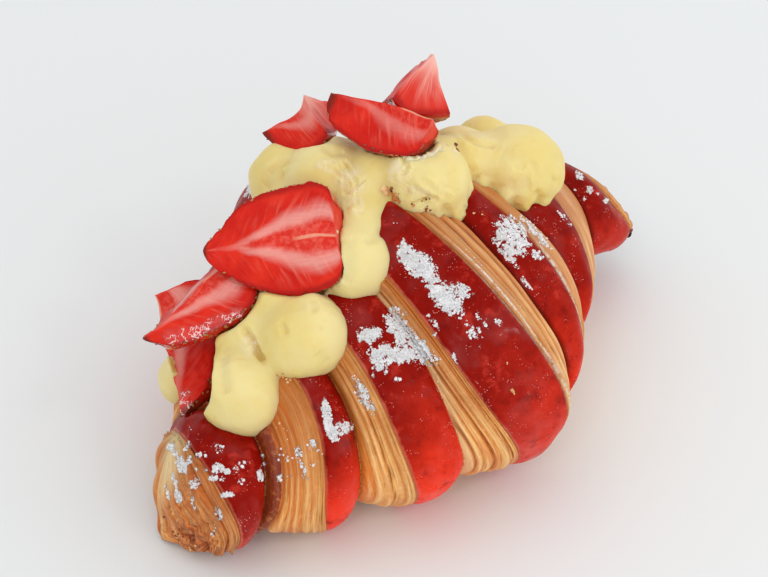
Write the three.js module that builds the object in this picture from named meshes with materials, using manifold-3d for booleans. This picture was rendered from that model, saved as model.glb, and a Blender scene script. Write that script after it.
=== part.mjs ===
// A filled croissant: one pastry body rolled from a striped dough, cut open
// along its top, a rope of yellow cream piped into the cut in loops, and six
// cut strawberry pieces resting on the cream.
// Millimetres, +Z up, long axis along X, front towards -Y.
import * as THREE from 'three';
import { mergeVertices } from 'three/addons/utils/BufferGeometryUtils.js';
import Module from 'manifold-3d';

const wasm = await Module();
wasm.setup();

// ---- driving sizes (mm) ----
const GAP = 0.3; // clearance between neighbouring pieces
const SIDES = 36; // points around the pastry

// stations along the pastry: x, half width, half height, centre y, centre z
const STATIONS = [
  [-72, 17.6, 11.6, -3.2, 12.6],
  [-60, 22.4, 16.6, -2.6, 15.6],
  [-45, 32.6, 21.8, -1.4, 20.6],
  [-28, 43.4, 26.6, -0.4, 25.2],
  [-14, 48.8, 30.6, 0.0, 29.0],
  [-5, 50.2, 32.2, 0.0, 30.6],
  [10, 42.2, 30.6, 0.4, 29.0],
  [28, 31.2, 26.8, 1.5, 25.4],
  [45, 21.6, 20.0, 3.4, 19.6],
  [60, 17.0, 15.0, 5.2, 16.0],
  [67, 15.6, 12.4, 6.6, 14.2],
];
const LEFT_TIP = [-78.2, -6, 3.5]; // where the layers of the left end run together
const RIGHT_TIP = [73, 7, 12]; // the same on the right end
// ring of the left end face: centre, half width, half height, lean along x
const LEFT_RING = { centre: [-71, -3, 13.2], width: 19.0, height: 12.4, leanFront: -4.5, leanTop: -1.6 };

// edges between the bands: x on top, bow of the whole edge, bow of its lower
// front, and how far it stands off the mean body (+ is a lip, - is a foot)
const EDGES = [
  null, // the left ring
  [-59.8, -5.2, -4.3, -2.0],
  [-48.8, -8.6, 0.2, 2.4],
  [-41.8, -5.4, -0.3, -2.4],
  [-37.6, -8.1, 5.1, 2.6],
  [-25.8, -7.4, 4.4, -2.6],
  [-22.4, -9.6, 12.6, 2.8],
  [-11.3, -2.6, 7.6, 2.8],
  [-0.6, -6.3, 10.8, -2.2],
  [6.3, 5.6, -2.9, 2.4],
  [15.3, 6.3, 0.3, -2.0],
  [29.0, 4.6, -7.4, 2.2],
  [50.0, -0.6, -5.0, -1.4],
  [57.4, -0.9, 6.9, 1.6],
];
const BACK_BOW = 0.8; // share of the bow that the back of an edge has
// ridges of the cut layers in each band; 0 is a glazed, smooth band
const CUT_RIDGES = [3, 0, 3, 0, 3, 0, 3, 0, 2, 0, 2, 0, 2, 0, 2];
const RIDGE = 0.75; // height of a layer ridge
const BULGE = 1.5; // swell of a glazed band between its edges
const FOOT_CRACK = 0.7; // depth of the crack where a band tucks under the next
const GLAZED_STEPS = [0, 0.15, 0.5, 0.85]; // places of the rings across a glazed band
const DOME_FLAT = 0.12; // 0 is a round end, 1 a cone
const BACK_WIDTH = 0.9; // the back flank is a little slimmer than the front
const FLOOR = 1; // height at which the soft underside has settled flat

// lobes of the cream rope: x, y, z, then half sizes along x, y, z
const LOBES = [
  [-57.9, 21.0, 23.6, 5.8, 6.4, 6],
  [-54, 16, 30, 7, 8, 7],
  [-58.2, -2, 35, 9, 10, 9.5],
  [-52, 9, 34, 8, 10, 7.5],
  [-43, -6.5, 45, 9.8, 9.8, 9.4],
  [-43.5, 6, 40.5, 8, 9, 8],
  [-34, 17, 43, 9.5, 10, 9],
  [-24.6, -4.2, 53.5, 9.2, 9.6, 9.2],
  [-12.5, 6, 60.5, 8, 8.5, 8],
  [-13.4, 14.8, 60.6, 10.5, 10, 9.8],
  [-16, 25.7, 55.4, 10, 9.5, 9.5],
  [-1, -4.5, 64, 10.2, 9.8, 9.4],
  [5, 8, 58, 9.5, 10, 9],
  [13, 15, 51, 9.5, 9.5, 9],
  [17, 3, 55, 9, 10, 9],
  [23.5, -8, 56, 10.8, 10, 9.8],
  [31, 7, 49, 8.5, 9.5, 8.5],
];
// the lower part of the rope, down in the cut
const ROPE_BASE = [
  [-47, 5, 34, 14, 8, 8],
  [-29, 5, 45, 14, 8, 8],
  [-8, 6, 52, 15, 8, 9],
  [14, 4, 48, 15, 8, 8],
];
const LOBE_SIDES = 12;
const LOBE_RINGS = 7;
const BASE_SIDES = 8;
const BASE_RINGS = 5;

// strawberry pieces: tip, stem end of the core, direction of the skin side,
// radius and half angle of the piece about the core
const BERRIES = {
  strawberry_1: { tip: [-47.2, 20.2, 56.2], stem: [-28.9, -3.2, 63.8], out: [0.68, 0.32, -0.65], radius: 12.3, half: 86 },
  strawberry_2: { tip: [-67.4, 18.7, 43.1], stem: [-42.6, 17.5, 52.6], out: [0.35, -0.18, -0.92], radius: 12.0, half: 55 },
  strawberry_3: { tip: [-66.4, 8.0, 26.8], stem: [-47.7, 38.8, 32.9], out: [0.85, -0.47, -0.24], radius: 14.0, half: 35 },
  strawberry_4: { tip: [-14.7, 35.4, 64.2], stem: [-5.7, 28.2, 74.1], out: [-0.04, -0.82, -0.56], radius: 11.1, half: 58 },
  strawberry_5: { tip: [-6.5, 21.6, 78.6], stem: [1.0, -3.2, 79.8], out: [-0.2, -0.11, -0.97], radius: 10.1, half: 41 },
  strawberry_6: { tip: [25.9, 27.1, 66.2], stem: [14.5, 9.7, 84.2], out: [-0.64, -0.31, -0.7], radius: 14.8, half: 30 },
};
const BERRY_RINGS = 8;
const BERRY_FAN = 8;

// ---- helpers ----
const rad = (deg) => (deg * Math.PI) / 180;
const lerp = (a, b, t) => a + (b - a) * t;

// smooth curve through the stations for one of their columns
function stationValue(x, column) {
  const last = STATIONS.length - 1;
  const at = (i) => STATIONS[Math.min(Math.max(i, 0), last)];
  let i = 0;
  while (i < last - 1 && x > STATIONS[i + 1][0]) i += 1;
  const [p, q] = [at(i), at(i + 1)];
  const slope = (j) => {
    const [a, b] = [at(j - 1), at(j + 1)];
    return (b[column] - a[column]) / (b[0] - a[0]);
  };
  const w = q[0] - p[0];
  const t = Math.min(Math.max((x - p[0]) / w, 0), 1);
  const [t2, t3] = [t * t, t * t * t];
  return p[column] * (2 * t3 - 3 * t2 + 1) + q[column] * (3 * t2 - 2 * t3)
    + w * (slope(i) * (t3 - 2 * t2 + t) + slope(i + 1) * (t3 - t2));
}

// point of the pastry skin at station x, angle phi (0 front, 90 top)
function skinPoint(x, phi, off) {
  const [c, s] = [Math.cos(phi), Math.sin(phi)];
  const side = c > 0 ? 1 : BACK_WIDTH;
  const y = stationValue(x, 3) - (stationValue(x, 1) * side + off) * c;
  const z = stationValue(x, 4) + (stationValue(x, 2) + off) * s;
  return [x, y, Math.max(z, FLOOR)];
}

// point of band edge k at angle phi
function edgePoint(k, phi, extra) {
  const [c, s] = [Math.cos(phi), Math.sin(phi)];
  if (EDGES[k] === null) {
    const { centre, width, height, leanFront, leanTop } = LEFT_RING;
    return [centre[0] + leanFront * c + leanTop * s, centre[1] - (width + extra) * c,
      Math.max(centre[2] + (height + extra) * s, FLOOR)];
  }
  const [top, bow, lowBow, off] = EDGES[k];
  const x = c > 0
    ? top + bow * c * c + lowBow * c * (1 - s)
    : top + BACK_BOW * (bow + lowBow) * c * c;
  return skinPoint(x, phi, off + extra);
}

function geometryOf(rings, startPole, endPole) {
  const pos = [];
  const index = [];
  rings.forEach((ring) => ring.forEach((p) => pos.push(...p)));
  const n = rings[0].length;
  const id = (r, j) => r * n + (j % n);
  for (let r = 0; r + 1 < rings.length; r += 1) {
    for (let j = 0; j < n; j += 1) {
      index.push(id(r, j), id(r + 1, j), id(r + 1, j + 1));
      index.push(id(r, j), id(r + 1, j + 1), id(r, j + 1));
    }
  }
  const first = pos.length / 3;
  pos.push(...startPole, ...endPole);
  for (let j = 0; j < n; j += 1) {
    index.push(first, id(0, j), id(0, j + 1));
    index.push(first + 1, id(rings.length - 1, j + 1), id(rings.length - 1, j));
  }
  const g = new THREE.BufferGeometry();
  g.setAttribute('position', new THREE.Float32BufferAttribute(pos, 3));
  g.setIndex(index);
  return g;
}

// the whole pastry as closed rings from the left tip to the right tip
function pastryGeometry() {
  const angles = Array.from({ length: SIDES }, (_, j) => (j / SIDES) * 2 * Math.PI);
  const rings = [];
  // dome of the cut layers at an end, from the tip to edge k
  const dome = (tip, k, ridges, side) => {
    const steps = 2 * ridges;
    return Array.from({ length: steps - 1 }, (_, n) => {
      const t = (n + 1) / steps;
      const turn = (t * Math.PI) / 2;
      const bump = (n % 2 === 0 ? RIDGE : -RIDGE) * Math.min(1, 2 * t);
      const wide = lerp(Math.sin(turn), t, DOME_FLAT);
      const deep = lerp(1 - Math.cos(turn), t, DOME_FLAT);
      return angles.map((phi) => {
        const [x, y, z] = edgePoint(k, phi, 0);
        return [lerp(tip[0], x, deep) + side * bump, lerp(tip[1], y, wide) - (bump * Math.cos(phi)) / 2,
          Math.max(lerp(tip[2], z, wide) + (bump * Math.sin(phi)) / 2, FLOOR)];
      });
    });
  };
  rings.push(...dome(LEFT_TIP, 0, CUT_RIDGES[0], -1));
  for (let band = 1; band < EDGES.length; band += 1) {
    const ridges = CUT_RIDGES[band];
    const cut = ridges > 0;
    const steps = cut
      ? Array.from({ length: 2 * ridges + 1 }, (_, i) => i / (2 * ridges + 1))
      : GLAZED_STEPS;
    const foot = EDGES[band - 1] !== null && EDGES[band - 1][3] < 0;
    steps.forEach((t, i) => {
      let bump = cut ? 0 : BULGE * Math.sin(Math.PI * t);
      if (cut && i > 0) bump = i % 2 === 1 ? -RIDGE : RIDGE;
      if (i === 0 && foot) bump -= FOOT_CRACK;
      rings.push(angles.map((phi) => {
        const p = edgePoint(band - 1, phi, bump);
        const q = edgePoint(band, phi, bump);
        return p.map((v, axis) => lerp(v, q[axis], t));
      }));
    });
  }
  const end = EDGES.length - 1;
  rings.push(angles.map((phi) => edgePoint(end, phi, 0)));
  rings.push(...dome(RIGHT_TIP, end, CUT_RIDGES[CUT_RIDGES.length - 1], 1).reverse());
  return geometryOf(rings, LEFT_TIP, RIGHT_TIP);
}

// one lobe of cream, grown by a clearance
function lobeGeometry([x, y, z, rx, ry, rz], grow, sides, rings) {
  const g = new THREE.SphereGeometry(1, sides, rings);
  g.scale(rx + grow, ry + grow, rz + grow);
  g.rotateX(Math.PI / 2);
  g.translate(x, y, z);
  return g;
}

// radius of a berry along its core, 0 at the tip and 1 at the stem end
function berryRadius(t) {
  if (t < 0.8) return Math.sin((Math.PI / 2) * (t / 0.8) ** 0.75);
  return 1 - 0.08 * ((t - 0.8) / 0.2) ** 2;
}

// a lengthwise cut piece of berry: skin outside, flat faces that meet at the core
function berryGeometry({ tip, stem, out, radius, half }, grow) {
  const T = new THREE.Vector3(...tip);
  const S = new THREE.Vector3(...stem);
  const axis = S.clone().sub(T).normalize();
  const e1 = new THREE.Vector3(...out);
  e1.addScaledVector(axis, -e1.dot(axis)).normalize();
  const e2 = axis.clone().cross(e1);
  T.addScaledVector(axis, -grow).addScaledVector(e1, -grow);
  S.addScaledVector(axis, grow).addScaledVector(e1, -grow);
  const len = S.distanceTo(T);
  const pos = [];
  const put = (v) => { pos.push(v.x, v.y, v.z); return pos.length / 3 - 1; };
  const tipId = put(T);
  const core = [];
  const skin = [];
  for (let i = 1; i <= BERRY_RINGS; i += 1) {
    const t = (i / BERRY_RINGS) ** 1.2;
    const c = T.clone().addScaledVector(axis, len * t);
    const r = (radius + 1.5 * grow) * berryRadius(t);
    core.push(put(c));
    skin.push(Array.from({ length: BERRY_FAN + 1 }, (_, j) => {
      const a = rad(lerp(-half, half, j / BERRY_FAN));
      return put(c.clone().addScaledVector(e1, r * Math.cos(a)).addScaledVector(e2, r * Math.sin(a)));
    }));
  }
  const index = [];
  const tri = (a, b, c) => index.push(a, b, c);
  for (let j = 0; j < BERRY_FAN; j += 1) tri(tipId, skin[0][j + 1], skin[0][j]);
  tri(tipId, skin[0][0], core[0]);
  tri(tipId, core[0], skin[0][BERRY_FAN]);
  for (let i = 0; i + 1 < BERRY_RINGS; i += 1) {
    for (let j = 0; j < BERRY_FAN; j += 1) {
      tri(skin[i][j], skin[i][j + 1], skin[i + 1][j + 1]);
      tri(skin[i][j], skin[i + 1][j + 1], skin[i + 1][j]);
    }
    tri(core[i], skin[i][0], skin[i + 1][0]);
    tri(core[i], skin[i + 1][0], core[i + 1]);
    tri(core[i], core[i + 1], skin[i + 1][BERRY_FAN]);
    tri(core[i], skin[i + 1][BERRY_FAN], skin[i][BERRY_FAN]);
  }
  const n = BERRY_RINGS - 1;
  for (let j = 0; j < BERRY_FAN; j += 1) tri(core[n], skin[n][j], skin[n][j + 1]);
  const g = new THREE.BufferGeometry();
  g.setAttribute('position', new THREE.Float32BufferAttribute(pos, 3));
  g.setIndex(index);
  return g;
}

function solid(geometry) {
  let g = geometry.clone();
  g.deleteAttribute('normal');
  g.deleteAttribute('uv');
  g = mergeVertices(g, 1e-4);
  return new wasm.Manifold(new wasm.Mesh({
    numProp: 3,
    vertProperties: new Float32Array(g.attributes.position.array),
    triVerts: new Uint32Array(g.index.array),
  }));
}

function meshOf(name, manifold, color) {
  const m = manifold.getMesh();
  const g = new THREE.BufferGeometry();
  g.setAttribute('position', new THREE.BufferAttribute(new Float32Array(m.vertProperties), 3));
  g.setIndex(new THREE.BufferAttribute(new Uint32Array(m.triVerts), 1));
  g.computeVertexNormals();
  const mesh = new THREE.Mesh(g, new THREE.MeshStandardMaterial({ color, roughness: 0.5 }));
  mesh.name = name;
  return mesh;
}

const unionOf = (list) => list.reduce((a, b) => a.add(b));
const largestOf = (m) => m.decompose().reduce((a, b) => (b.volume() > a.volume() ? b : a));

// ---- the pieces ----
const pastry = solid(pastryGeometry());
const names = Object.keys(BERRIES);
const whole = names.map((name) => solid(berryGeometry(BERRIES[name], 0)));
const room = names.map((name) => solid(berryGeometry(BERRIES[name], GAP)));
// the second piece lies on the third and gives way to it
const berries = whole.map((m, i) => (i === 1 ? m.subtract(room[2]) : m));
const berryRoom = unionOf(room);
const ropeOf = (grow) => unionOf([
  ...LOBES.map((l) => solid(lobeGeometry(l, grow, LOBE_SIDES, LOBE_RINGS))),
  ...ROPE_BASE.map((l) => solid(lobeGeometry(l, grow, BASE_SIDES, BASE_RINGS))),
]);
const cream = largestOf(ropeOf(0).subtract(berryRoom));
const body = largestOf(pastry.subtract(ropeOf(GAP)).subtract(berryRoom));

const group = new THREE.Group();
group.name = 'filled_croissant';
group.add(meshOf('croissant', body, 0xa5201c));
group.add(meshOf('cream', cream, 0xf3e3a2));
berries.forEach((m, i) => group.add(meshOf(names[i], m, 0xd0302a)));

// origin at the middle of the base
const box = new THREE.Box3().setFromObject(group);
const shift = [-(box.min.x + box.max.x) / 2, -(box.min.y + box.max.y) / 2, -box.min.z];
group.children.forEach((m) => m.geometry.translate(...shift));
group.userData.shift = shift;

export default group;
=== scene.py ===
# %% [markdown]
# # A filled croissant with strawberries
# The real thing is a pastry rolled from a striped dough, cut open along its top, filled with a rope of
# pale custard cream, topped with cut strawberries and dusted with icing sugar. This lesson dresses the
# plain solids of the frame with the skin, layers, cream, fruit and sugar that the eye sees.
# Sizes are written in millimetres and turned into metres when a mesh is made.

# %% The frame
import math
import bpy
import numpy as np
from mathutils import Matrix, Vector
from mathutils.bvhtree import BVHTree
from mathutils.kdtree import KDTree


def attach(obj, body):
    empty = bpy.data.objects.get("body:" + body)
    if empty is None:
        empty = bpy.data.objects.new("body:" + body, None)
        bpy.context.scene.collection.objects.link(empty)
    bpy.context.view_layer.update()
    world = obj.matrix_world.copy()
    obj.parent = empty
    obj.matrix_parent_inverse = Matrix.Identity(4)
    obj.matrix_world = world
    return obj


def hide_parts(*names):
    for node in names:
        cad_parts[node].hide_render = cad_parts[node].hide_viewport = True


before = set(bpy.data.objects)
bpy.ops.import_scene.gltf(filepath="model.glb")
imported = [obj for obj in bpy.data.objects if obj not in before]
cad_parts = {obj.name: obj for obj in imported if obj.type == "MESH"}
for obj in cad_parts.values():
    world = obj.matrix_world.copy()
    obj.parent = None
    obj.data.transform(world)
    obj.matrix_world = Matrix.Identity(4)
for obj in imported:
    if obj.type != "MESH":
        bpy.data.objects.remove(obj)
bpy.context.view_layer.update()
MM = 0.001
# the sizes below are measured from the middle of the pastry; this step takes them to the frame's origin
TO_FRAME = np.array([2.6644, 2.5311, -1.0])

# %% [markdown]
# ## The camera, the floor and the light
# The photograph looks down at the croissant from its front left, through a long lens. The camera stands
# where the pastry's outline and the edges of its bands fall on those of the photograph. The floor is
# plain and pale, and the light is soft: a bright overcast room with one large window high on the left.

# %% Camera
PHOTO_WIDTH = 768
PHOTO_HEIGHT = 577
FOCAL = 2200.0  # pixels
SENSOR = 36.0
DISTANCE = 531.0
AIM = np.array([0.6, 11.5, 22.0]) + TO_FRAME
TURN = math.radians(-45)
RISE = math.radians(40)
back = Vector((math.sin(TURN) * math.cos(RISE), -math.cos(TURN) * math.cos(RISE), math.sin(RISE)))
camera_data = bpy.data.cameras.new("camera")
camera_data.lens = FOCAL * SENSOR / PHOTO_WIDTH
camera_data.sensor_width = SENSOR
camera = bpy.data.objects.new("camera", camera_data)
camera.location = Vector(AIM * MM) + back * DISTANCE * MM
camera.rotation_mode = "QUATERNION"
camera.rotation_quaternion = (-back).to_track_quat("-Z", "Y")
camera_data.clip_start = 0.01
camera_data.clip_end = 20
bpy.context.scene.collection.objects.link(camera)
bpy.context.scene.camera = camera
print("lens", round(camera_data.lens, 1), "camera at", [round(v, 3) for v in camera.location])


def ray_through(px, py):
    """Start and direction of the line of sight through a pixel of the photograph."""
    turn = camera.rotation_quaternion
    right = turn @ Vector((1, 0, 0))
    up = turn @ Vector((0, 1, 0))
    aim = right * (px - PHOTO_WIDTH / 2) / FOCAL + up * (PHOTO_HEIGHT / 2 - py) / FOCAL - back
    return camera.location.copy(), aim.normalized()


def seen(tree, px, py):
    """What a search tree shows at a pixel: place, normal, face, distance and line of sight."""
    start, aim = ray_through(px, py)
    return *tree.ray_cast(start, aim), aim


def picture_axes(angle):
    """Two directions in the picture's plane, the first turned clockwise by an angle in degrees."""
    angle = math.radians(angle)
    turn = camera.rotation_quaternion
    long = turn @ Vector((math.cos(angle), -math.sin(angle), 0))
    return long, turn @ Vector((math.sin(angle), math.cos(angle), 0))


def in_picture(points):
    """Picture place of points given in metres: right, down, and how far in front of the camera."""
    off = (points - np.array(camera.location)) @ np.array(camera.rotation_quaternion.to_matrix())
    right = PHOTO_WIDTH / 2 - FOCAL * off[:, 0] / off[:, 2]
    down = PHOTO_HEIGHT / 2 + FOCAL * off[:, 1] / off[:, 2]
    return right, down, off[:, 2]


# %% Floor and light
def deselect():
    bpy.ops.object.select_all(action="DESELECT")


def only(*pieces):
    deselect()
    bpy.context.view_layer.objects.active = pieces[0]
    for piece in pieces:
        piece.select_set(True)


def joined(pieces):
    only(*pieces)
    bpy.ops.object.join()
    return bpy.context.object


FLOOR_SIZE = 6.0
deselect()
bpy.ops.mesh.primitive_plane_add(size=FLOOR_SIZE, location=(0, 0, -0.0001))
floor = bpy.context.object
floor.name = "floor"


# name, place, width in metres, power in watts, colour
LIGHTS = [
    ("window", (-0.60, -0.05, 1.25), 2.0, 2.8, (1.0, 0.99, 0.975)),
    ("low front", (-0.45, -1.0, 0.5), 1.6, 3.5, (1.0, 0.99, 0.98)),
    ("right front", (0.80, -0.70, 0.50), 1.5, 2.0, (1.0, 0.99, 0.98)),
    ("far side", (1.0, 0.15, 0.75), 1.8, 2.4, (1.0, 0.99, 0.98)),
    ("front pane", (0.12, -0.92, 0.98), 0.17, 0.8, (1.0, 1.0, 1.0)),
    ("left pane", (-0.75, -0.42, 0.85), 0.15, 0.5, (1.0, 1.0, 1.0)),
]
LIT = Vector((0, 0, 0.03))  # the lights face this place
for name, place, size, power, colour in LIGHTS:
    data = bpy.data.lights.new(name, "AREA")
    data.shape = "DISK"
    data.size = size
    data.energy = power
    data.color = colour
    light = bpy.data.objects.new(name, data)
    light.location = place
    light.rotation_mode = "QUATERNION"
    light.rotation_quaternion = (LIT - light.location).to_track_quat("-Z", "Y")
    bpy.context.scene.collection.objects.link(light)
world = bpy.data.worlds.new("room")
world.use_nodes = True
sky = world.node_tree.nodes["Background"].inputs
sky["Color"].default_value = (0.97, 0.985, 1.0, 1)
sky["Strength"].default_value = 0.775
bpy.context.scene.world = world
bpy.context.scene.view_settings.view_transform = "Standard"

# %% [markdown]
# ## Helpers
# Many pieces begin as a grid or a sphere that is moved to its place, welded and smoothed. The helpers
# below do those steps the same way each time. Uneven shapes come from sums of sine waves with seeded
# directions, which give the same dough, cream and fruit at every run. Search trees find the points near
# a place and the face that a line of sight meets.

# %% Helpers for meshes
def framed(points):
    """Millimetres from the middle of the pastry, as metres in the frame."""
    return (np.asarray(points) + TO_FRAME) * MM


def points_of(piece, key="co"):
    flat = np.zeros(len(piece.data.vertices) * 3)
    piece.data.vertices.foreach_get(key, flat)
    return flat.reshape(-1, 3)


def normals_of(piece):
    return points_of(piece, "normal")


def built(name, points, polygons):
    """A piece made of lists of points and faces."""
    mesh = bpy.data.meshes.new(name)
    mesh.from_pydata(np.concatenate(points).tolist(), [], polygons)
    piece = bpy.data.objects.new(name, mesh)
    bpy.context.scene.collection.objects.link(piece)
    return piece


def shape_of(add, **sizes):
    """Points and faces of a simple solid, which is removed again."""
    deselect()
    add(**sizes)
    solid = bpy.context.object
    points = points_of(solid)
    faces = [list(face.vertices) for face in solid.data.polygons]
    bpy.data.objects.remove(solid)
    return points, faces


def put_points(piece, points):
    piece.data.vertices.foreach_set("co", np.asarray(points, np.float32).ravel())
    piece.data.update()


def apply_modifier(piece, kind, **settings):
    only(piece)
    modifier = piece.modifiers.new(kind.lower(), kind)
    for key, value in settings.items():
        setattr(modifier, key, value)
    bpy.ops.object.modifier_apply(modifier=modifier.name)


def weld(piece, distance):
    only(piece)
    bpy.ops.object.mode_set(mode="EDIT")
    bpy.ops.mesh.select_all(action="SELECT")
    bpy.ops.mesh.remove_doubles(threshold=distance)
    bpy.ops.mesh.normals_make_consistent(inside=False)
    bpy.ops.object.mode_set(mode="OBJECT")


def add_attribute(piece, name, values):
    layer = piece.data.attributes.new(name, "FLOAT", "POINT")
    layer.data.foreach_set("value", np.asarray(values, np.float32).ravel())


def attribute_of(piece, name):
    values = np.zeros(len(piece.data.vertices))
    piece.data.attributes[name].data.foreach_get("value", values)
    return values


def tree_of(*pieces):
    """Search tree of the surfaces of some pieces."""
    points = []
    faces = []
    for piece in pieces:
        first = len(points)
        points += [v.co.copy() for v in piece.data.vertices]
        faces += [[first + i for i in face.vertices] for face in piece.data.polygons]
    return BVHTree.FromPolygons(points, faces)


def search_tree(points):
    search = KDTree(len(points))
    for i, point in enumerate(points):
        search.insert(point, i)
    search.balance()
    return search


def oval(search, middle, long, wide, half_long, half_wide, reach):
    """Numbers of the points round a place, and how far out in an oval they are (1 on its edge)."""
    for point, i, distance in search.find_range(middle, reach):
        off = point - middle
        yield i, math.hypot(off.dot(long) / half_long, off.dot(wide) / half_wide)


def waves(points, size, seed, count=7):
    """Smooth uneven field, mostly between -1 and 1, with bumps of the given size."""
    draw = np.random.default_rng(seed)
    total = np.zeros(len(points))
    for _ in range(count):
        aim = draw.normal(size=points.shape[1])
        aim *= 2 * np.pi / (size * draw.uniform(0.8, 1.7) * np.linalg.norm(aim))
        total += np.sin(points @ aim + draw.uniform(0, 2 * np.pi))
    return total / math.sqrt(count)


def uneven(points, *rows):
    """Sum of uneven fields: height, size of the bumps, seed, and number of waves if not the usual one."""
    return sum(height * waves(points, *field) for height, *field in rows)


def bell(distance, width):
    return np.exp(-((distance / width) ** 2))


def smooth_step(low, high, value):
    t = np.clip((value - low) / (high - low), 0, 1)
    return t * t * (3 - 2 * t)


def give_finish(piece, *materials):
    for material in materials:
        piece.data.materials.append(material)


print("helpers ready")

# %% [markdown]
# A material is a recipe of nodes. The recipe knows its node tree and the place on the surface, and keeps
# the colour so far. Each step adds one node: a noise, a painted value, a colour laid over. Values of a
# recipe are added, subtracted and multiplied like numbers.

# %% Values of a recipe
class Value:
    """A value in a recipe; what is worked out from it becomes nodes of the same recipe."""

    def __init__(self, recipe, socket):
        self.recipe = recipe
        self.socket = socket

    def __add__(self, other):
        return self.recipe.calc("ADD", self, other)

    def __sub__(self, other):
        return self.recipe.calc("SUBTRACT", self, other)

    def __rsub__(self, other):
        return self.recipe.calc("SUBTRACT", other, self)

    def __mul__(self, other):
        return self.recipe.calc("MULTIPLY", self, other)

    def __truediv__(self, other):
        return self.recipe.calc("DIVIDE", self, other)

    def __abs__(self):
        return self.recipe.calc("ABSOLUTE", self)

    def grade(self, low, high, to_low=0.0, to_high=1.0):
        """The value carried from one range to another, and held there."""
        inputs = {"Value": self, "From Min": low, "From Max": high, "To Min": to_low, "To Max": to_high}
        return self.recipe.node("MapRange", inputs, "Result", interpolation_type="SMOOTHSTEP")

    def also(self, output):
        """Another output of the node that the value comes from."""
        return Value(self.recipe, self.socket.node.outputs[output])


print("values ready")

# %% Steps of a recipe
class Recipe:
    """A node tree and the steps that add nodes to it."""

    def __init__(self, tree):
        self.tree = tree

    def fill(self, socket, value):
        """Wire a value to a socket or set a number there; a colour is three numbers."""
        if isinstance(value, Value):
            self.tree.links.new(value.socket, socket)
        else:
            socket.default_value = (*value, 1) if socket.type == "RGBA" else value

    def node(self, kind, inputs, output=0, **settings):
        made = self.tree.nodes.new("ShaderNode" + kind)
        for key, value in settings.items():
            setattr(made, key, value)
        for key, value in inputs.items():
            self.fill(made.inputs[key], value)
        return Value(self, made.outputs[output])

    def calc(self, operation, *values):
        return self.node("Math", dict(enumerate(values)), operation=operation)

    def at(self, x, y, z=0.0):
        return self.node("CombineXYZ", {"X": x, "Y": y, "Z": z})

    def noise(self, scale, detail=3.0, roughness=0.55, place=None):
        inputs = {"Vector": place or self.place, "Scale": scale, "Detail": detail, "Roughness": roughness}
        return self.node("TexNoise", inputs, "Fac")

    def painted(self, name):
        return self.node("Attribute", {}, "Fac", attribute_name=name)

    def mix(self, share, first, second):
        return self.node("Mix", {0: share, 6: first, 7: second}, 2, data_type="RGBA")


class Finish(Recipe):
    """The recipe of a material: it starts with a colour, lays more over it and hands it to the shader."""

    def __init__(self, name):
        self.material = bpy.data.materials.new(name)
        self.material.use_nodes = True
        super().__init__(self.material.node_tree)
        self.place = self.node("TexCoord", {}, "Object")

    def start(self, share, first, second):
        """Start the colour as a mix of two."""
        self.colour = self.mix(share, first, second)

    def paint(self, share, colour):
        """Lay a colour over the colour so far."""
        self.colour = self.mix(share, self.colour, colour)

    def effect(self, effect, output, **inputs):
        return self.node("Group", {"Place": self.place, **inputs}, output, node_tree=effect.tree)

    def bumps(self, *layers):
        """Bumps laid one over another, each a height and its depth in metres."""
        below = {}
        for height, depth in layers:
            inputs = {"Height": height, "Distance": depth, "Strength": 1.0, **below}
            below = {"Normal": self.node("Bump", inputs, "Normal")}
        return below["Normal"]

    def finished(self, **sockets):
        """Hand the colour, values and numbers to the surface shader."""
        surface = self.tree.nodes["Principled BSDF"]
        for key, value in {"Base_Color": self.colour, **sockets}.items():
            self.fill(surface.inputs[key.replace("_", " ")], value)
        return self.material


print("recipes ready")

# %% [markdown]
# ## The strawberry pieces
# Each piece is cut lengthwise from a berry: a rounded, seeded skin and flat wet cut faces that meet at
# the core. The cut face is made first, as a grid shaped to half of the berry's outline, and is then spun
# about the core, which makes the skin, the second cut face and a closed body in one step.

# %% Shape of a berry
# tip, stem end of the core, direction of the skin side, radius and half angle of the piece
BERRIES = {
    "strawberry_1": ((-47.2, 20.2, 56.2), (-28.9, -3.2, 63.8), (0.68, 0.32, -0.65), 12.3, 86),
    "strawberry_2": ((-67.4, 18.7, 43.1), (-42.6, 17.5, 52.6), (0.29, -0.27, -0.78), 12.0, 60),
    "strawberry_3": ((-66.4, 8.0, 26.8), (-47.7, 38.8, 32.9), (0.85, -0.47, -0.24), 14.0, 35),
    "strawberry_4": ((-15.1, 35.8, 64.2), (-7.2, 29.7, 73.4), (0.375, -0.554, -0.744), 12.4, 46),
    "strawberry_5": ((-6.5, 21.6, 78.6), (1.0, -3.2, 79.8), (-0.2, -0.11, -0.97), 10.7, 41),
    "strawberry_6": ((25.9, 27.1, 66.2), (14.5, 9.7, 84.2), (-0.64, -0.31, -0.7), 14.8, 30),
}
ALONG = 76  # steps from tip to stem
ACROSS = 26  # steps from core to skin
SKIN_STEP = 0.42  # spacing of the skin's points round the core
SEED_GAP = 2.5  # spacing of the seeds
DIMPLE = 0.32  # depth of the dimple that a seed lies in
SHOULDER = 0.8  # where the outline is widest
STEM_END = 0.55  # radius at the stem end, as a share of the widest
CUT_END = {"strawberry_4": 0.88, "strawberry_6": 0.93}  # the same, where the stem end was cut off flat
BLUNT = {"strawberry_5": 0.40}  # a lower power makes a blunter tip
HOLLOW = {"strawberry_4": 2.2}  # how far the hollow core has sunk in


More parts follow.
